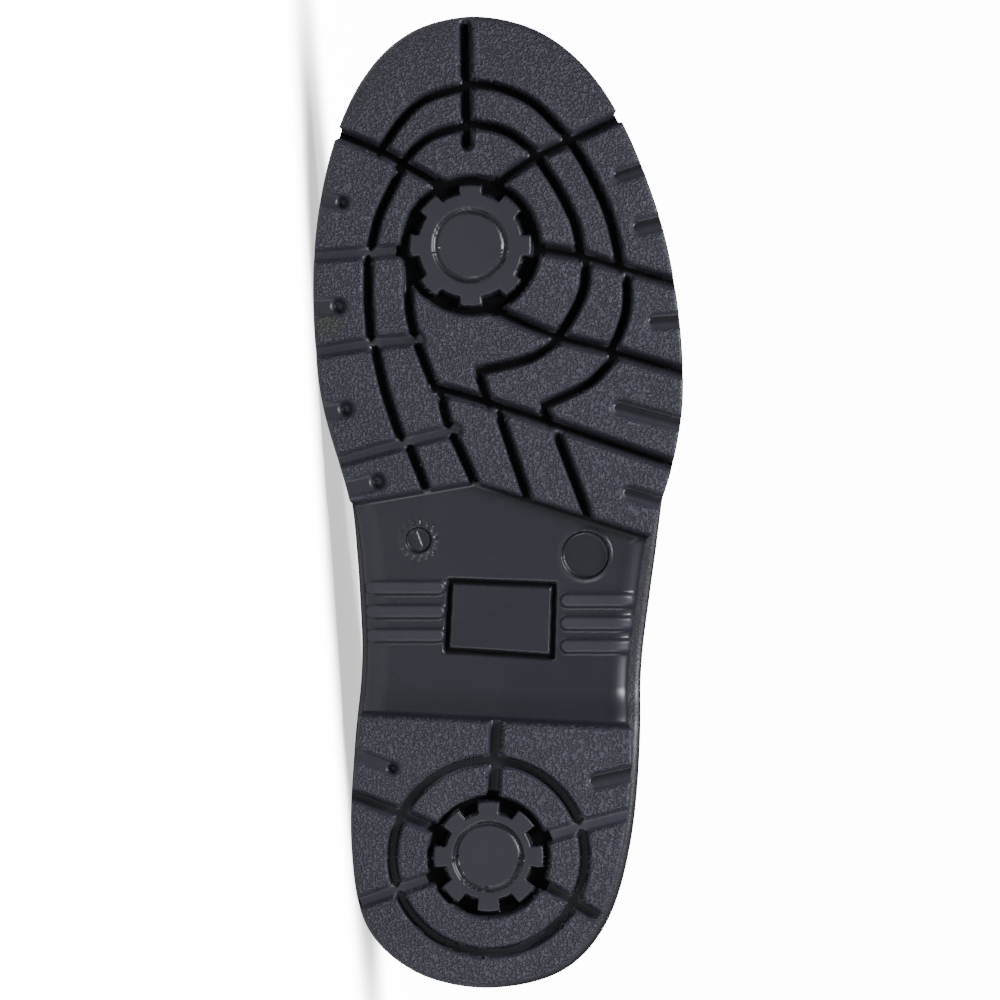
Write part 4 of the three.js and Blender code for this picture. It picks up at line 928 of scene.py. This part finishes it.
def throat_edge(row):
    """The angle of the throat's outer edge, round at its foot, and of the vamp's middle below the throat."""
    opened = np.clip((row - THROAT_ROW) / THROAT_FOOT, 0, 1)
    edge = angle_at(row, throat_half(row) * np.sqrt(1 - (1 - opened) ** 2))
    return np.where(row <= THROAT_ROW, np.pi, edge)


def quarter_front(row):
    """The angle of the front edge of the quarters, which meet the throat above the vamp."""
    below = mix(*QUARTER_SLANT, np.clip(row / THROAT_ROW, 0, 1) ** QUARTER_SLANT_CURVE)
    return np.where(row <= THROAT_ROW, below, np.maximum(np.minimum(throat_edge(row), np.pi), QUARTER_LIMIT))


def trough(away, wide):
    return np.exp(-((away / wide) ** 2))


def creases(angle, row):
    """Soft troughs across the ball, where the boot has been bent on a foot."""
    across = smooth(np.abs(np.abs(angle) - np.pi), 1.25, 0.4)
    wave = 0.06 * np.sin(angle * 3.0)
    return -across * sum(depth * trough(row - at - wave, wide) for at, depth, wide in CREASES)


def even_rows(count):
    return np.arange(count + 1) / count


def leather_sheet(name, columns, rows, place, thickness, bevel=0.0004, lined=False):
    """A panel cut from leather. place gives the angle, row and offset of its outer face at each point."""

    def points(i, j):
        angle, row, offset = place(i / columns, rows[j])
        return (upper_form(angle, row, offset),)

    bm = shaped_grid(columns, len(rows) - 1, points)
    bmesh.ops.reverse_faces(bm, faces=bm.faces)
    piece = finished(name, bm, black_leather, "upper_leather", "upper", closed=False)
    wall = piece.modifiers.new("thickness", "SOLIDIFY")
    wall.thickness, wall.offset, wall.use_even_offset = thickness, -1, True
    if lined:
        piece.data.materials.append(boot_lining)
        wall.material_offset = 1
    edge = piece.modifiers.new("cut_edges", "BEVEL")
    edge.width, edge.segments, edge.limit_method, edge.angle_limit = bevel, 2, "ANGLE", math.radians(50)
    return piece


def leather():
    """Grained leather with fine pores, a little glossier where it is darker."""
    material, tree, shader = new_material("black_leather")
    cells = pebbles(tree, LEATHER_GRAIN)
    pores = {"Vector": own_place(tree), "Scale": LEATHER_PORES}
    skin = node(tree, "ShaderNodeTexVoronoi", pores, feature="DISTANCE_TO_EDGE").outputs["Distance"]
    relief = calculated(tree, "MULTIPLY", cells["Height"], remapped(tree, skin, (0, 0.12)))
    rough = remapped(tree, cells["Fleck"], (0.35, 0.7), (0.34, 0.52))
    tone = colour_ramp(tree, cells["Fleck"], LEATHER_TONES)
    surface(tree, shader, tone, rough, relief, strength=0.5, distance=0.00012)
    return material


def lining_mesh():
    """Spacer mesh, drawn as a net of small round holes."""
    material, tree, shader = new_material("boot_lining")
    net = {"Vector": own_place(tree), "Scale": LINING_HOLES, "Randomness": 0.25}
    holes = remapped(tree, node(tree, "ShaderNodeTexVoronoi", net).outputs["Distance"], (0.1, 0.5))
    surface(tree, shader, colour_ramp(tree, holes, LINING_TONES), 0.9, holes, strength=0.6, distance=0.0003)
    return material


def vamp_place(u, row):
    angle = mix(-1, 1, u) * throat_edge(row)
    return angle, row, creases(angle, row)


def quarter_place(u, row):
    return mix(-1, 1, u) * quarter_front(row), row, QUARTER_STEP


black_leather = leather()
boot_lining = lining_mesh()
round_foot = THROAT_ROW + np.array([-0.15, -0.06, 0, 0.01, 0.04, 0.09, 0.16, 0.25, 0.36, 0.48, THROAT_FOOT])
vamp_rows = np.concatenate((np.linspace(-0.15, 6.6, 48), round_foot, np.linspace(7.7, 12.9, 34)))
leather_sheet("vamp_leather", 300, vamp_rows, vamp_place, LEATHER, lined=True)
quarter_rows = np.concatenate(
    (np.linspace(-0.15, 6.8, 46), np.linspace(6.9, 7.6, 8), np.linspace(7.75, 12.95, 32))
)
leather_sheet("quarters", 260, quarter_rows, quarter_place, QUARTER_STEP + 2 * SUNK)

# Facings: a second strip of leather down each side of the throat, which stiffens it for the eyelets. Each
# has a round foot and is sewn on along both of its long edges.
FACING_WIDTH, FACING_THICKNESS, FACING_BEVEL = 0.0195, 0.0007, 0.0003
FACING_FACE = QUARTER_STEP + FACING_THICKNESS
FACING_FOOT, FACING_HEAD, FACING_ROUND, THROAT_ROUND = 6.75, 12.97, 0.12, 0.75


def facing_place(side):
    def place(u, v):
        row = mix(FACING_FOOT, FACING_HEAD, v)
        wide = FACING_WIDTH * np.sqrt(1 - np.clip(1 - v / FACING_ROUND, 0, 0.97) ** 2)
        opened = np.clip((row - FACING_FOOT + 0.02) / THROAT_ROUND, 0, 1)
        near = throat_half(row) * np.sqrt(1 - (1 - opened) ** 2)
        return side * angle_at(row, near + wide * (1 - u) + THROAT_CLEAR), row, FACING_FACE

    return place


for name, side in (("facing_outer", 1), ("facing_inner", -1)):
    facing = leather_sheet(
        name, 18, even_rows(90), facing_place(side), FACING_THICKNESS + SUNK, FACING_BEVEL
    )
    if side < 0:
        facing.data.flip_normals()

# Heel counter and backstay: leather sewn over the stiffener that cups the heel, and the narrow strip of
# leather that is sewn up the back over the seam there. The strip tapers to the top and lies over the
# counter.
COUNTER_REACH, COUNTER_TOP, COUNTER_DROP = 1.12, 5.3, 0.75
COUNTER_FACE = QUARTER_STEP + 0.0009
BACKSTAY_HALF, BACKSTAY_TAPER, BACKSTAY_ROWS = 0.0085, (1.25, 0.8), (5.0, 11.4)
BACKSTAY_FACE = QUARTER_STEP + 0.0018
OVERLAY_THICKNESS = 0.0010
BACK_CURVE = 0.82


def counter_top(turn):
    return COUNTER_TOP * (1 - COUNTER_DROP * np.abs(turn / COUNTER_REACH) ** 2.6)


def counter_place(u, v):
    turn = mix(-COUNTER_REACH, COUNTER_REACH, u)
    return turn, mix(-0.15, counter_top(turn), v), COUNTER_FACE


def backstay_half(v):
    """Half the backstay's width as an angle, before the curve of the back is taken off it."""
    return BACKSTAY_HALF * mix(*BACKSTAY_TAPER, v) / (ANKLE_WIDTH / 2)


def backstay_place(u, v):
    half = backstay_half(v)
    return mix(-half, half, u) * BACK_CURVE, mix(*BACKSTAY_ROWS, v), BACKSTAY_FACE


leather_sheet("heel_counter", 110, even_rows(44), counter_place, OVERLAY_THICKNESS)
leather_sheet("backstay", 16, even_rows(80), backstay_place, OVERLAY_THICKNESS)

# Padded collar: soft leather folded over a roll of foam round the ankle. It is sewn to the quarters along
# its foot, has one channel pressed into it, and is turned over into the boot.
COLLAR_ENDS = 2.42
COLLAR_FOOT = 11.0
COLLAR_OUT, COLLAR_IN = 0.0016, 0.0037
COLLAR_CHANNEL = {"level": 12.05, "wide": 0.10, "deep": 0.0011}
COLLAR_TAPER, COLLAR_FULLNESS, COLLAR_WALL = 0.05, 0.55, 0.3
COLLAR_COLUMNS, COLLAR_ROUND_STEPS = 220, 44


def collar_points(column, row):
    share = column / COLLAR_COLUMNS
    angle = mix(-COLLAR_ENDS, COLLAR_ENDS, share)
    turn = 2 * np.pi * row / COLLAR_ROUND_STEPS
    end = np.clip(np.minimum(share, 1 - share) / COLLAR_TAPER, 0, 1)
    puff = np.sqrt(1 - (1 - end) ** 2)
    up = (1 - np.cos(turn)) / 2
    level = mix(COLLAR_FOOT, COLLAR_ROW + 0.02, up ** 0.8)
    side = np.sin(turn)
    fat = np.abs(side) ** COLLAR_FULLNESS * puff
    channel = COLLAR_CHANNEL["deep"] * trough(level - COLLAR_CHANNEL["level"], COLLAR_CHANNEL["wide"]) * puff
    outer = QUARTER_STEP + SUNK + (COLLAR_OUT * fat - channel)
    inner = -LEATHER - SUNK - (COLLAR_IN * fat - channel)
    middle = (QUARTER_STEP - LEATHER) / 2
    offset = mix(middle, np.where(side >= 0, outer, inner), np.abs(side) ** COLLAR_WALL)
    return (upper_form(angle, level, offset),)


collar_body = shaped_grid(COLLAR_COLUMNS, COLLAR_ROUND_STEPS, collar_points)
close_ends(collar_body)
collar = finished("collar_pad", collar_body, black_leather, "upper_leather", "upper")

# Stitching: rows of black waxed thread along the edges of the panels, which hold them together. Each stitch
# is sunk a little into the leather, one to every 3 mm.
STITCH_PITCH, STITCH_LENGTH, THREAD = 0.0030, 0.0023, 0.0004
QUARTER_SEAMS = (0.016, 0.042)
FACING_SEAMS = (0.0022, FACING_WIDTH - 0.0022)
BACKSTAY_SEAM_IN = 0.035
COUNTER_SEAMS, COUNTER_SEAM_END = (0.16, 0.42), 0.03
COLLAR_SEAMS = (COLLAR_FOOT - 0.12, COLLAR_FOOT - 0.32)
QUARTER_SEAM_ROWS, FACING_SEAM_ROWS, BACKSTAY_SEAM_ROWS = (0.15, 6.8), (7.0, 12.8), (5.1, 11.3)
THREAD_TWIST = 900.0
THREAD_TONES = ((0.2, (0.016, 0.016, 0.017)), (0.8, (0.034, 0.034, 0.036)))


def waxed_thread():
    material, tree, shader = new_material("waxed_thread")
    twist = {"Vector": own_place(tree), "Scale": THREAD_TWIST, "Distortion": 2.0}
    strands = node(tree, "ShaderNodeTexWave", twist).outputs["Fac"]
    surface(tree, shader, colour_ramp(tree, strands, THREAD_TONES), 0.5)
    return material


def length_along(line):
    """How far along a line each of its points lies."""
    return np.concatenate(([0], np.cumsum(np.linalg.norm(np.diff(line, axis=0), axis=1))))


def read_at(place, run, line):
    return [np.interp(place, run, line[:, k]) for k in range(3)]


def stitch_row(bm, angle, row, offset):
    """Stitches along a line on the upper, given as many close places."""
    line = upper_form(angle, row, offset)
    face = upper_normal(*np.broadcast_arrays(np.asarray(angle, float), np.asarray(row, float)))
    run = length_along(line)
    for start in np.arange(0.5 * STITCH_PITCH, run[-1] - STITCH_PITCH / 2, STITCH_PITCH):
        at = Vector(read_at(start, run, line))
        nearby = Vector(read_at(start + 0.0005, run, line))
        out = Vector(read_at(start, run, face)).normalized()
        ahead = (nearby - at).normalized()
        aside = out.cross(ahead).normalized()
        turn = Matrix((ahead, aside, aside.cross(ahead) * -1)).transposed().to_4x4()
        turn.translation = at
        shape = Matrix.Diagonal((STITCH_LENGTH / 2, THREAD, THREAD * 0.9, 1))
        bmesh.ops.create_icosphere(bm, subdivisions=1, radius=1, matrix=turn @ shape)


stitches = bmesh.new()
fine = np.linspace(0, 1, 400)
for side in (1, -1):
    rows = mix(*QUARTER_SEAM_ROWS, fine)
    for inset in QUARTER_SEAMS:
        stitch_row(stitches, side * (quarter_front(rows) - inset * mix(1, 0.8, fine)), rows, QUARTER_STEP)
    rows = mix(*FACING_SEAM_ROWS, fine)
    for gap in FACING_SEAMS:
        stitch_row(stitches, side * angle_at(rows, throat_half(rows) + gap), rows, FACING_FACE)
    stay = backstay_half(fine) * BACK_CURVE
    stitch_row(stitches, side * (stay - BACKSTAY_SEAM_IN), mix(*BACKSTAY_SEAM_ROWS, fine), BACKSTAY_FACE)
turn = mix(-COUNTER_REACH + COUNTER_SEAM_END, COUNTER_REACH - COUNTER_SEAM_END, fine)
for gap in COUNTER_SEAMS:
    stitch_row(stitches, turn, counter_top(turn) - gap, COUNTER_FACE)
for level in COLLAR_SEAMS:
    stitch_row(stitches, mix(-COLLAR_ENDS, COLLAR_ENDS, fine), np.full(fine.shape, level), QUARTER_STEP)
finished("stitching", stitches, waxed_thread(), "upper_leather", "upper")

# Tongue: two layers of soft leather over foam, sewn across in channels. Its foot is sewn under the vamp, and
# it lies under the facings and the lace.
TONGUE_FOOT, TONGUE_HEAD, TONGUE_ROUND_HEAD = 6.3, 13.9, 13
TONGUE_HALF = (35, 28)
TONGUE_UNDER = 0.0032
TONGUE_THICKNESS = 0.0045
TONGUE_CHANNELS, CHANNEL_WIDTH, CHANNEL_DEPTH = (8.3, 9.6, 10.9, 12.2), 0.11, 0.38
TONGUE_COLUMNS, TONGUE_ROWS = 64, 130


def tongue_points(column, row):
    v = row / TONGUE_ROWS
    level = mix(TONGUE_FOOT, TONGUE_HEAD, v)
    turn = 2 * np.pi * column / TONGUE_COLUMNS
    half = np.radians(mix(*TONGUE_HALF, smooth(level, TONGUE_ROUND_HEAD, TONGUE_HEAD)))
    half = half * np.sqrt(1 - np.clip((v - 0.93) / 0.07, 0, 0.9) ** 2)
    angle = np.pi + half * np.cos(turn)
    plump = np.abs(np.sin(turn)) ** 0.5 * np.sqrt(1 - np.clip((v - 0.95) / 0.05, 0, 1) ** 2)
    channel = sum(trough(level - at, CHANNEL_WIDTH) for at in TONGUE_CHANNELS)
    fat = TONGUE_THICKNESS / 2 * plump * (1 - CHANNEL_DEPTH * channel)
    middle = -TONGUE_UNDER - TONGUE_THICKNESS / 2
    return (upper_form(angle, level, middle + np.sign(np.sin(turn)) * fat),)


tongue_body = shaped_grid(TONGUE_COLUMNS, TONGUE_ROWS, tongue_points)
close_ends(tongue_body)
tongue = finished("tongue_pad", tongue_body, black_leather, "tongue_leather", "tongue")

# Insole: a sock of foam under dark woven cloth, cut to the inside of the upper. It lies loose on the sole's
# top, rounded along its upper edge and a little hollow in the middle.
INSOLE_THICKNESS, INSOLE_GAP, INSOLE_HOLLOW = 0.004, 0.0008, 0.92
# The profile of its edge is the share of its thickness and how far it stands in.
INSOLE_PROFILE = ((0, 0), (0.35, 0), (0.75, 0), (0.9, 0.0002), (0.97, 0.0005), (1, 0.001), (1, 0.0025))
INSOLE_COLUMNS = 300
CLOTH_TURN = 5200.0
CLOTH_TONES = ((0.1, (0.018, 0.018, 0.020)), (0.9, (0.060, 0.060, 0.064)))


def insole_points(column, row):
    angle = 2 * np.pi * column / INSOLE_COLUMNS
    profile = np.array(INSOLE_PROFILE)[np.clip(row - 1, 0, len(INSOLE_PROFILE) - 1)]
    edge = upper_form(angle, np.zeros(angle.shape), -LEATHER - INSOLE_GAP - profile[:, 1])
    axis_x, axis_y = middle_of(along_at(angle))
    share = np.where(row > len(INSOLE_PROFILE), INSOLE_HOLLOW, profile[:, 0])
    rise = np.where(row == 0, 0, share) * INSOLE_THICKNESS
    middle = (row == 0) | (row > len(INSOLE_PROFILE))
    x, y = np.where(middle, axis_x, edge[:, 0]), np.where(middle, axis_y, edge[:, 1])
    return np.column_stack((x, y, sole_top(x / SOLE_LENGTH) + SLIP_GAP + rise)), x, y


def woven(tree, phases):
    """Height of a weave whose two sets of threads rise and sink as the sines of two phases."""
    first, second = (calculated(tree, "SINE", phase) for phase in phases)
    return remapped(tree, calculated(tree, "MULTIPLY", first, second), (-1.0, 1.0))


def woven_cloth():
    material, tree, shader = new_material("insole_cloth")
    ways = [layer_value(tree, name) for name in ("run", "side")]
    height = woven(tree, [calculated(tree, "MULTIPLY", way, CLOTH_TURN) for way in ways])
    surface(tree, shader, colour_ramp(tree, height, CLOTH_TONES), 0.95, height, strength=0.6, distance=0.0003)
    return material


insole_body = shaped_grid(INSOLE_COLUMNS, len(INSOLE_PROFILE) + 1, insole_points, ("run", "side"))
finished("insole_sock", insole_body, woven_cloth(), "insole_fabric", "insole")

# Eyelets: ten rings of black metal, five down each facing. Each is a barrel pressed through the leather and
# rolled over into a rounded flange on its face.
EYELET_ROWS = np.linspace(7.6, 12.1, 5)
EYELET_FROM_THROAT = 0.009
HOLE, BARREL, BARREL_FOOT = 0.0044, 0.0058, -0.0030
FLANGE, FLANGE_THICKNESS, FLANGE_SEAT = 0.0086, 0.0008, 0.00075
# The profile is the radius of the ring and its height over the quarters' face.
EYELET_PROFILE = (
    (HOLE / 2, BARREL_FOOT), (BARREL / 2, BARREL_FOOT),
    (BARREL / 2, FLANGE_SEAT), (FLANGE / 2 - 0.0002, FLANGE_SEAT),
    (FLANGE / 2, FLANGE_SEAT + 0.0002), (FLANGE / 2 - 0.0003, FLANGE_SEAT + 0.0006),
    (FLANGE / 2 - 0.0009, FLANGE_SEAT + FLANGE_THICKNESS),
    (HOLE / 2 + 0.0007, FLANGE_SEAT + FLANGE_THICKNESS),
    (HOLE / 2 + 0.0002, FLANGE_SEAT + 0.0005), (HOLE / 2, FLANGE_SEAT),
)
METAL_WEAR = 700.0
METAL_TONES = ((0.35, (0.035, 0.035, 0.037)), (0.75, (0.12, 0.12, 0.12)))


def black_metal():
    material, tree, shader = new_material("black_metal")
    worn = {"Vector": own_place(tree), "Scale": METAL_WEAR, "Detail": 3.0}
    rub = node(tree, "ShaderNodeTexNoise", worn).outputs["Fac"]
    shader.inputs["Metallic"].default_value = 1.0
    surface(tree, shader, colour_ramp(tree, rub, METAL_TONES), remapped(tree, rub, after=(0.22, 0.45)))
    return material


def standing_on_upper(angle, row, offset):
    """The place of something that stands on the upper, as a matrix whose z points out of it."""
    foot = Vector(upper_form(angle, row, offset))
    out = (Vector(upper_form(angle, row, offset + 0.001)) - foot).normalized()
    turn = Vector((0, 0, 1)).rotation_difference(out).to_matrix().to_4x4()
    turn.translation = foot
    return turn


rings = bmesh.new()
for row in EYELET_ROWS:
    for side in (1, -1):
        angle = side * float(angle_at(row, throat_half(row) + EYELET_FROM_THROAT))
        profile = [rings.verts.new((radius, 0, height)) for radius, height in EYELET_PROFILE]
        loop = [rings.edges.new((profile[k - 1], profile[k])) for k in range(len(profile))]
        bmesh.ops.spin(
            rings, geom=profile + loop, cent=(0, 0, 0), axis=(0, 0, 1),
            angle=2 * math.pi, steps=32, use_merge=True,
        )
        turned = [vert for vert in rings.verts if not vert.tag]
        bmesh.ops.transform(rings, matrix=standing_on_upper(angle, row, QUARTER_STEP), verts=turned)
        for vert in turned:
            vert.tag = True
bmesh.ops.remove_doubles(rings, verts=rings.verts, dist=1e-6)
pairs = range(1, len(EYELET_ROWS) + 1)
eyelet_names = [f"eyelet_{side}_{pair}" for side in ("outer", "inner") for pair in pairs]
finished("eyelets", rings, black_metal(), "eyelet_metal", *eyelet_names)

# Lace: one round braided cord. It crosses the throat under the facings at the lowest pair of eyelets, comes
# up through each eyelet, crosses over to dive under the facing across, and ends in the top eyelets.
LACE = 0.0036
LACE_SIDES = 12
LACE_TONES = ((0.1, (0.006, 0.006, 0.007)), (0.9, (0.024, 0.024, 0.026)))
BRAID_TURN, BRAID_STRANDS = 3600.0, 6.0

# How high the lace's middle runs over the vamp's outer face: in the lowest bar, under a facing, in a hole,
# on and past the rim of an eyelet, where one half crosses over the other, and where it dives.
BAR_MIDDLE, BAR_SIDE = -0.0012, -0.0020
UNDER_EDGE, UNDER_HOLE, IN_HOLE = -0.0044, -0.0042, 0.0010
ON_RIM, PAST_RIM, LAST_RIM, LACE_END = 0.0038, 0.0046, 0.0040, -0.0034
CROSSING = {1: 0.0034, -1: -0.0004}
DIVE = -0.0020


def lace_side(side):
    """Places that half of the lace runs through, from the middle of its lowest bar to a top eyelet."""
    holes = [float(angle_at(row, throat_half(row) + EYELET_FROM_THROAT)) for row in EYELET_ROWS]
    edges = [float(throat_edge(np.float64(row))) for row in EYELET_ROWS]
    route = []

    def at(side, angle, row, offset):
        route.append(upper_form(side * angle if side > 0 else 2 * np.pi - angle, row, offset))

    at(side, np.pi, EYELET_ROWS[0], BAR_MIDDLE)
    at(side, (edges[0] + np.pi) / 2, EYELET_ROWS[0], BAR_SIDE)
    last = len(EYELET_ROWS) - 1
    for pair in range(last):
        row, hole, edge = EYELET_ROWS[pair], holes[pair], edges[pair]
        next_row, next_edge = EYELET_ROWS[pair + 1], edges[pair + 1]
        at(side, edge, row - 0.02, UNDER_EDGE)
        at(side, hole, row, UNDER_HOLE)
        at(side, hole, row, IN_HOLE)
        at(side, hole, row, ON_RIM)
        at(side, mix(hole, edge, 0.9), mix(row, next_row, 0.17), PAST_RIM)
        at(side, np.pi, mix(row, next_row, 0.5), CROSSING[side])
        side = -side
        if pair + 1 < last:
            at(side, mix(next_edge, np.pi, 0.25), mix(row, next_row, 0.8), DIVE)
    row, hole, edge = EYELET_ROWS[last], holes[last], edges[last]
    at(side, mix(hole, edge, 0.9), row - 0.16, PAST_RIM)
    at(side, hole, row, LAST_RIM)
    at(side, hole, row, IN_HOLE)
    at(side, hole, row, LACE_END)
    return np.array(route)


def smooth_route(points, pitch=0.0009):
    """A smooth cord through places, as evenly spaced points, and how far along it each lies."""
    dense = spline(points, 24)
    run = length_along(dense)
    even = np.linspace(0, run[-1], int(run[-1] / pitch))
    return np.column_stack(read_at(even, run, dense)), even


def cord_points(line, run):
    """Rings round a line, carried along it without twist."""
    ahead = np.gradient(line, axis=0)
    ahead /= np.linalg.norm(ahead, axis=1, keepdims=True)
    aside = [np.cross(ahead[0], (0.3, 0.1, 1.0))]
    for forward in ahead:
        kept = aside[-1] - forward * np.dot(aside[-1], forward)
        aside.append(kept / np.linalg.norm(kept))
    aside = np.array(aside[1:])
    across = np.cross(ahead, aside)

    def place(i, j):
        turn = 2 * np.pi * i / LACE_SIDES
        around = aside[j] * np.cos(turn)[:, None] + across[j] * np.sin(turn)[:, None]
        return line[j] + LACE / 2 * around, run[j], turn

    return place


def lace_braid():
    material, tree, shader = new_material("lace_braid")
    along = calculated(tree, "MULTIPLY", layer_value(tree, "run"), BRAID_TURN)
    round_it = calculated(tree, "MULTIPLY", layer_value(tree, "turn"), BRAID_STRANDS)
    height = woven(tree, [calculated(tree, way, along, round_it) for way in ("ADD", "SUBTRACT")])
    surface(tree, shader, colour_ramp(tree, height, LACE_TONES), 0.8, height, strength=0.7, distance=0.0003)
    return material


braid = lace_braid()
for name, side in (("lace_outer", 1), ("lace_inner", -1)):
    line, run = smooth_route(lace_side(side))
    cord = shaped_grid(LACE_SIDES, len(line) - 1, cord_points(line, run), ("run", "turn"))
    close_ends(cord)
    finished(name, cord, braid, "lace_cord", "lace")

# The room: a pale floor that the boot lies on, a soft key light above the boot's outer side, which is right
# in the picture, and a weaker one beyond its heel. Floor and background are seen paler than they light the
# boot. Near the boot the floor is seen less pale, a painted pool of shade round it, in which the lamps'
# shadows show.
LIGHT_COLOUR = (0.91, 0.93, 1.0)
KEY_POWER, KEY_SIZE, KEY_WAY = 19, 0.35, 0.84 * to_outer + 0.52 * tread_out + 0.18 * to_toe
HEEL_POWER, HEEL_SIZE, HEEL_WAY = 5.5, 0.6, -0.75 * to_toe + 0.60 * tread_out + 0.15 * to_outer
ROOM_LIGHT, ROOM_SEEN = 0.10, 14.0
FLOOR_NEAR_PAINTED_SHADE, FLOOR_FAR, FLOOR_FADE, FLOOR_STRETCH = 0.9, 14.0, (0.10, 0.20), (0.8, 1, 1)
FLOOR_TONE, FLOOR_HALF, BOOT_MIDDLE_DEPTH = (0.75, 0.75, 0.75, 1), 6, 0.11

paper, paper_tree, paper_shader = new_material("pale_paper")
paper_shader.inputs["Emission Color"].default_value = (1, 1, 1, 1)
surface(paper_tree, paper_shader, FLOOR_TONE, 0.95)
under_boot = aim - BOOT_MIDDLE_DEPTH * tread_out
spread = vector_result(paper_tree, "SUBTRACT", own_place(paper_tree), (under_boot.x, under_boot.y, 0))
spread = vector_result(paper_tree, "MULTIPLY", spread, FLOOR_STRETCH)
from_boot = vector_result(paper_tree, "LENGTH", spread, result="Value")
# Painted shade: the floor glows less near the boot, a pool of painted shade round it.
paler = remapped(paper_tree, from_boot, FLOOR_FADE, (FLOOR_NEAR_PAINTED_SHADE, FLOOR_FAR), "SMOOTHSTEP")
seen = node(paper_tree, "ShaderNodeLightPath").outputs["Is Camera Ray"]
feed(paper_tree, paper_shader.inputs["Emission Strength"], calculated(paper_tree, "MULTIPLY", paler, seen))
sheet = bmesh.new()
bmesh.ops.create_grid(sheet, x_segments=1, y_segments=1, size=FLOOR_HALF)
floor_mesh = bpy.data.meshes.new("floor")
sheet.to_mesh(floor_mesh)
sheet.free()
floor_mesh.materials.append(paper)
floor = bpy.data.objects.new("floor", floor_mesh)
bpy.context.scene.collection.objects.link(floor)

room = bpy.data.worlds.new("room")
bpy.context.scene.world = room
room.use_nodes = True
background = room.node_tree.nodes["Background"]
background.inputs["Color"].default_value = (1, 1, 1, 1)
seen = node(room.node_tree, "ShaderNodeLightPath").outputs["Is Camera Ray"]
strength = remapped(room.node_tree, seen, after=(ROOM_LIGHT, ROOM_SEEN))
feed(room.node_tree, background.inputs["Strength"], strength)


def soft_light(name, way, size, power):
    """A square light a metre from the sole, turned to it."""
    data = bpy.data.lights.new(name, "AREA")
    data.size, data.energy, data.color = size, power, LIGHT_COLOUR
    light = bpy.data.objects.new(name, data)
    light.location = aim + way
    light.rotation_euler = (-way).to_track_quat("-Z", "Y").to_euler()
    bpy.context.scene.collection.objects.link(light)


soft_light("key", KEY_WAY, KEY_SIZE, KEY_POWER)
soft_light("beyond_heel", HEEL_WAY, HEEL_SIZE, HEEL_POWER)
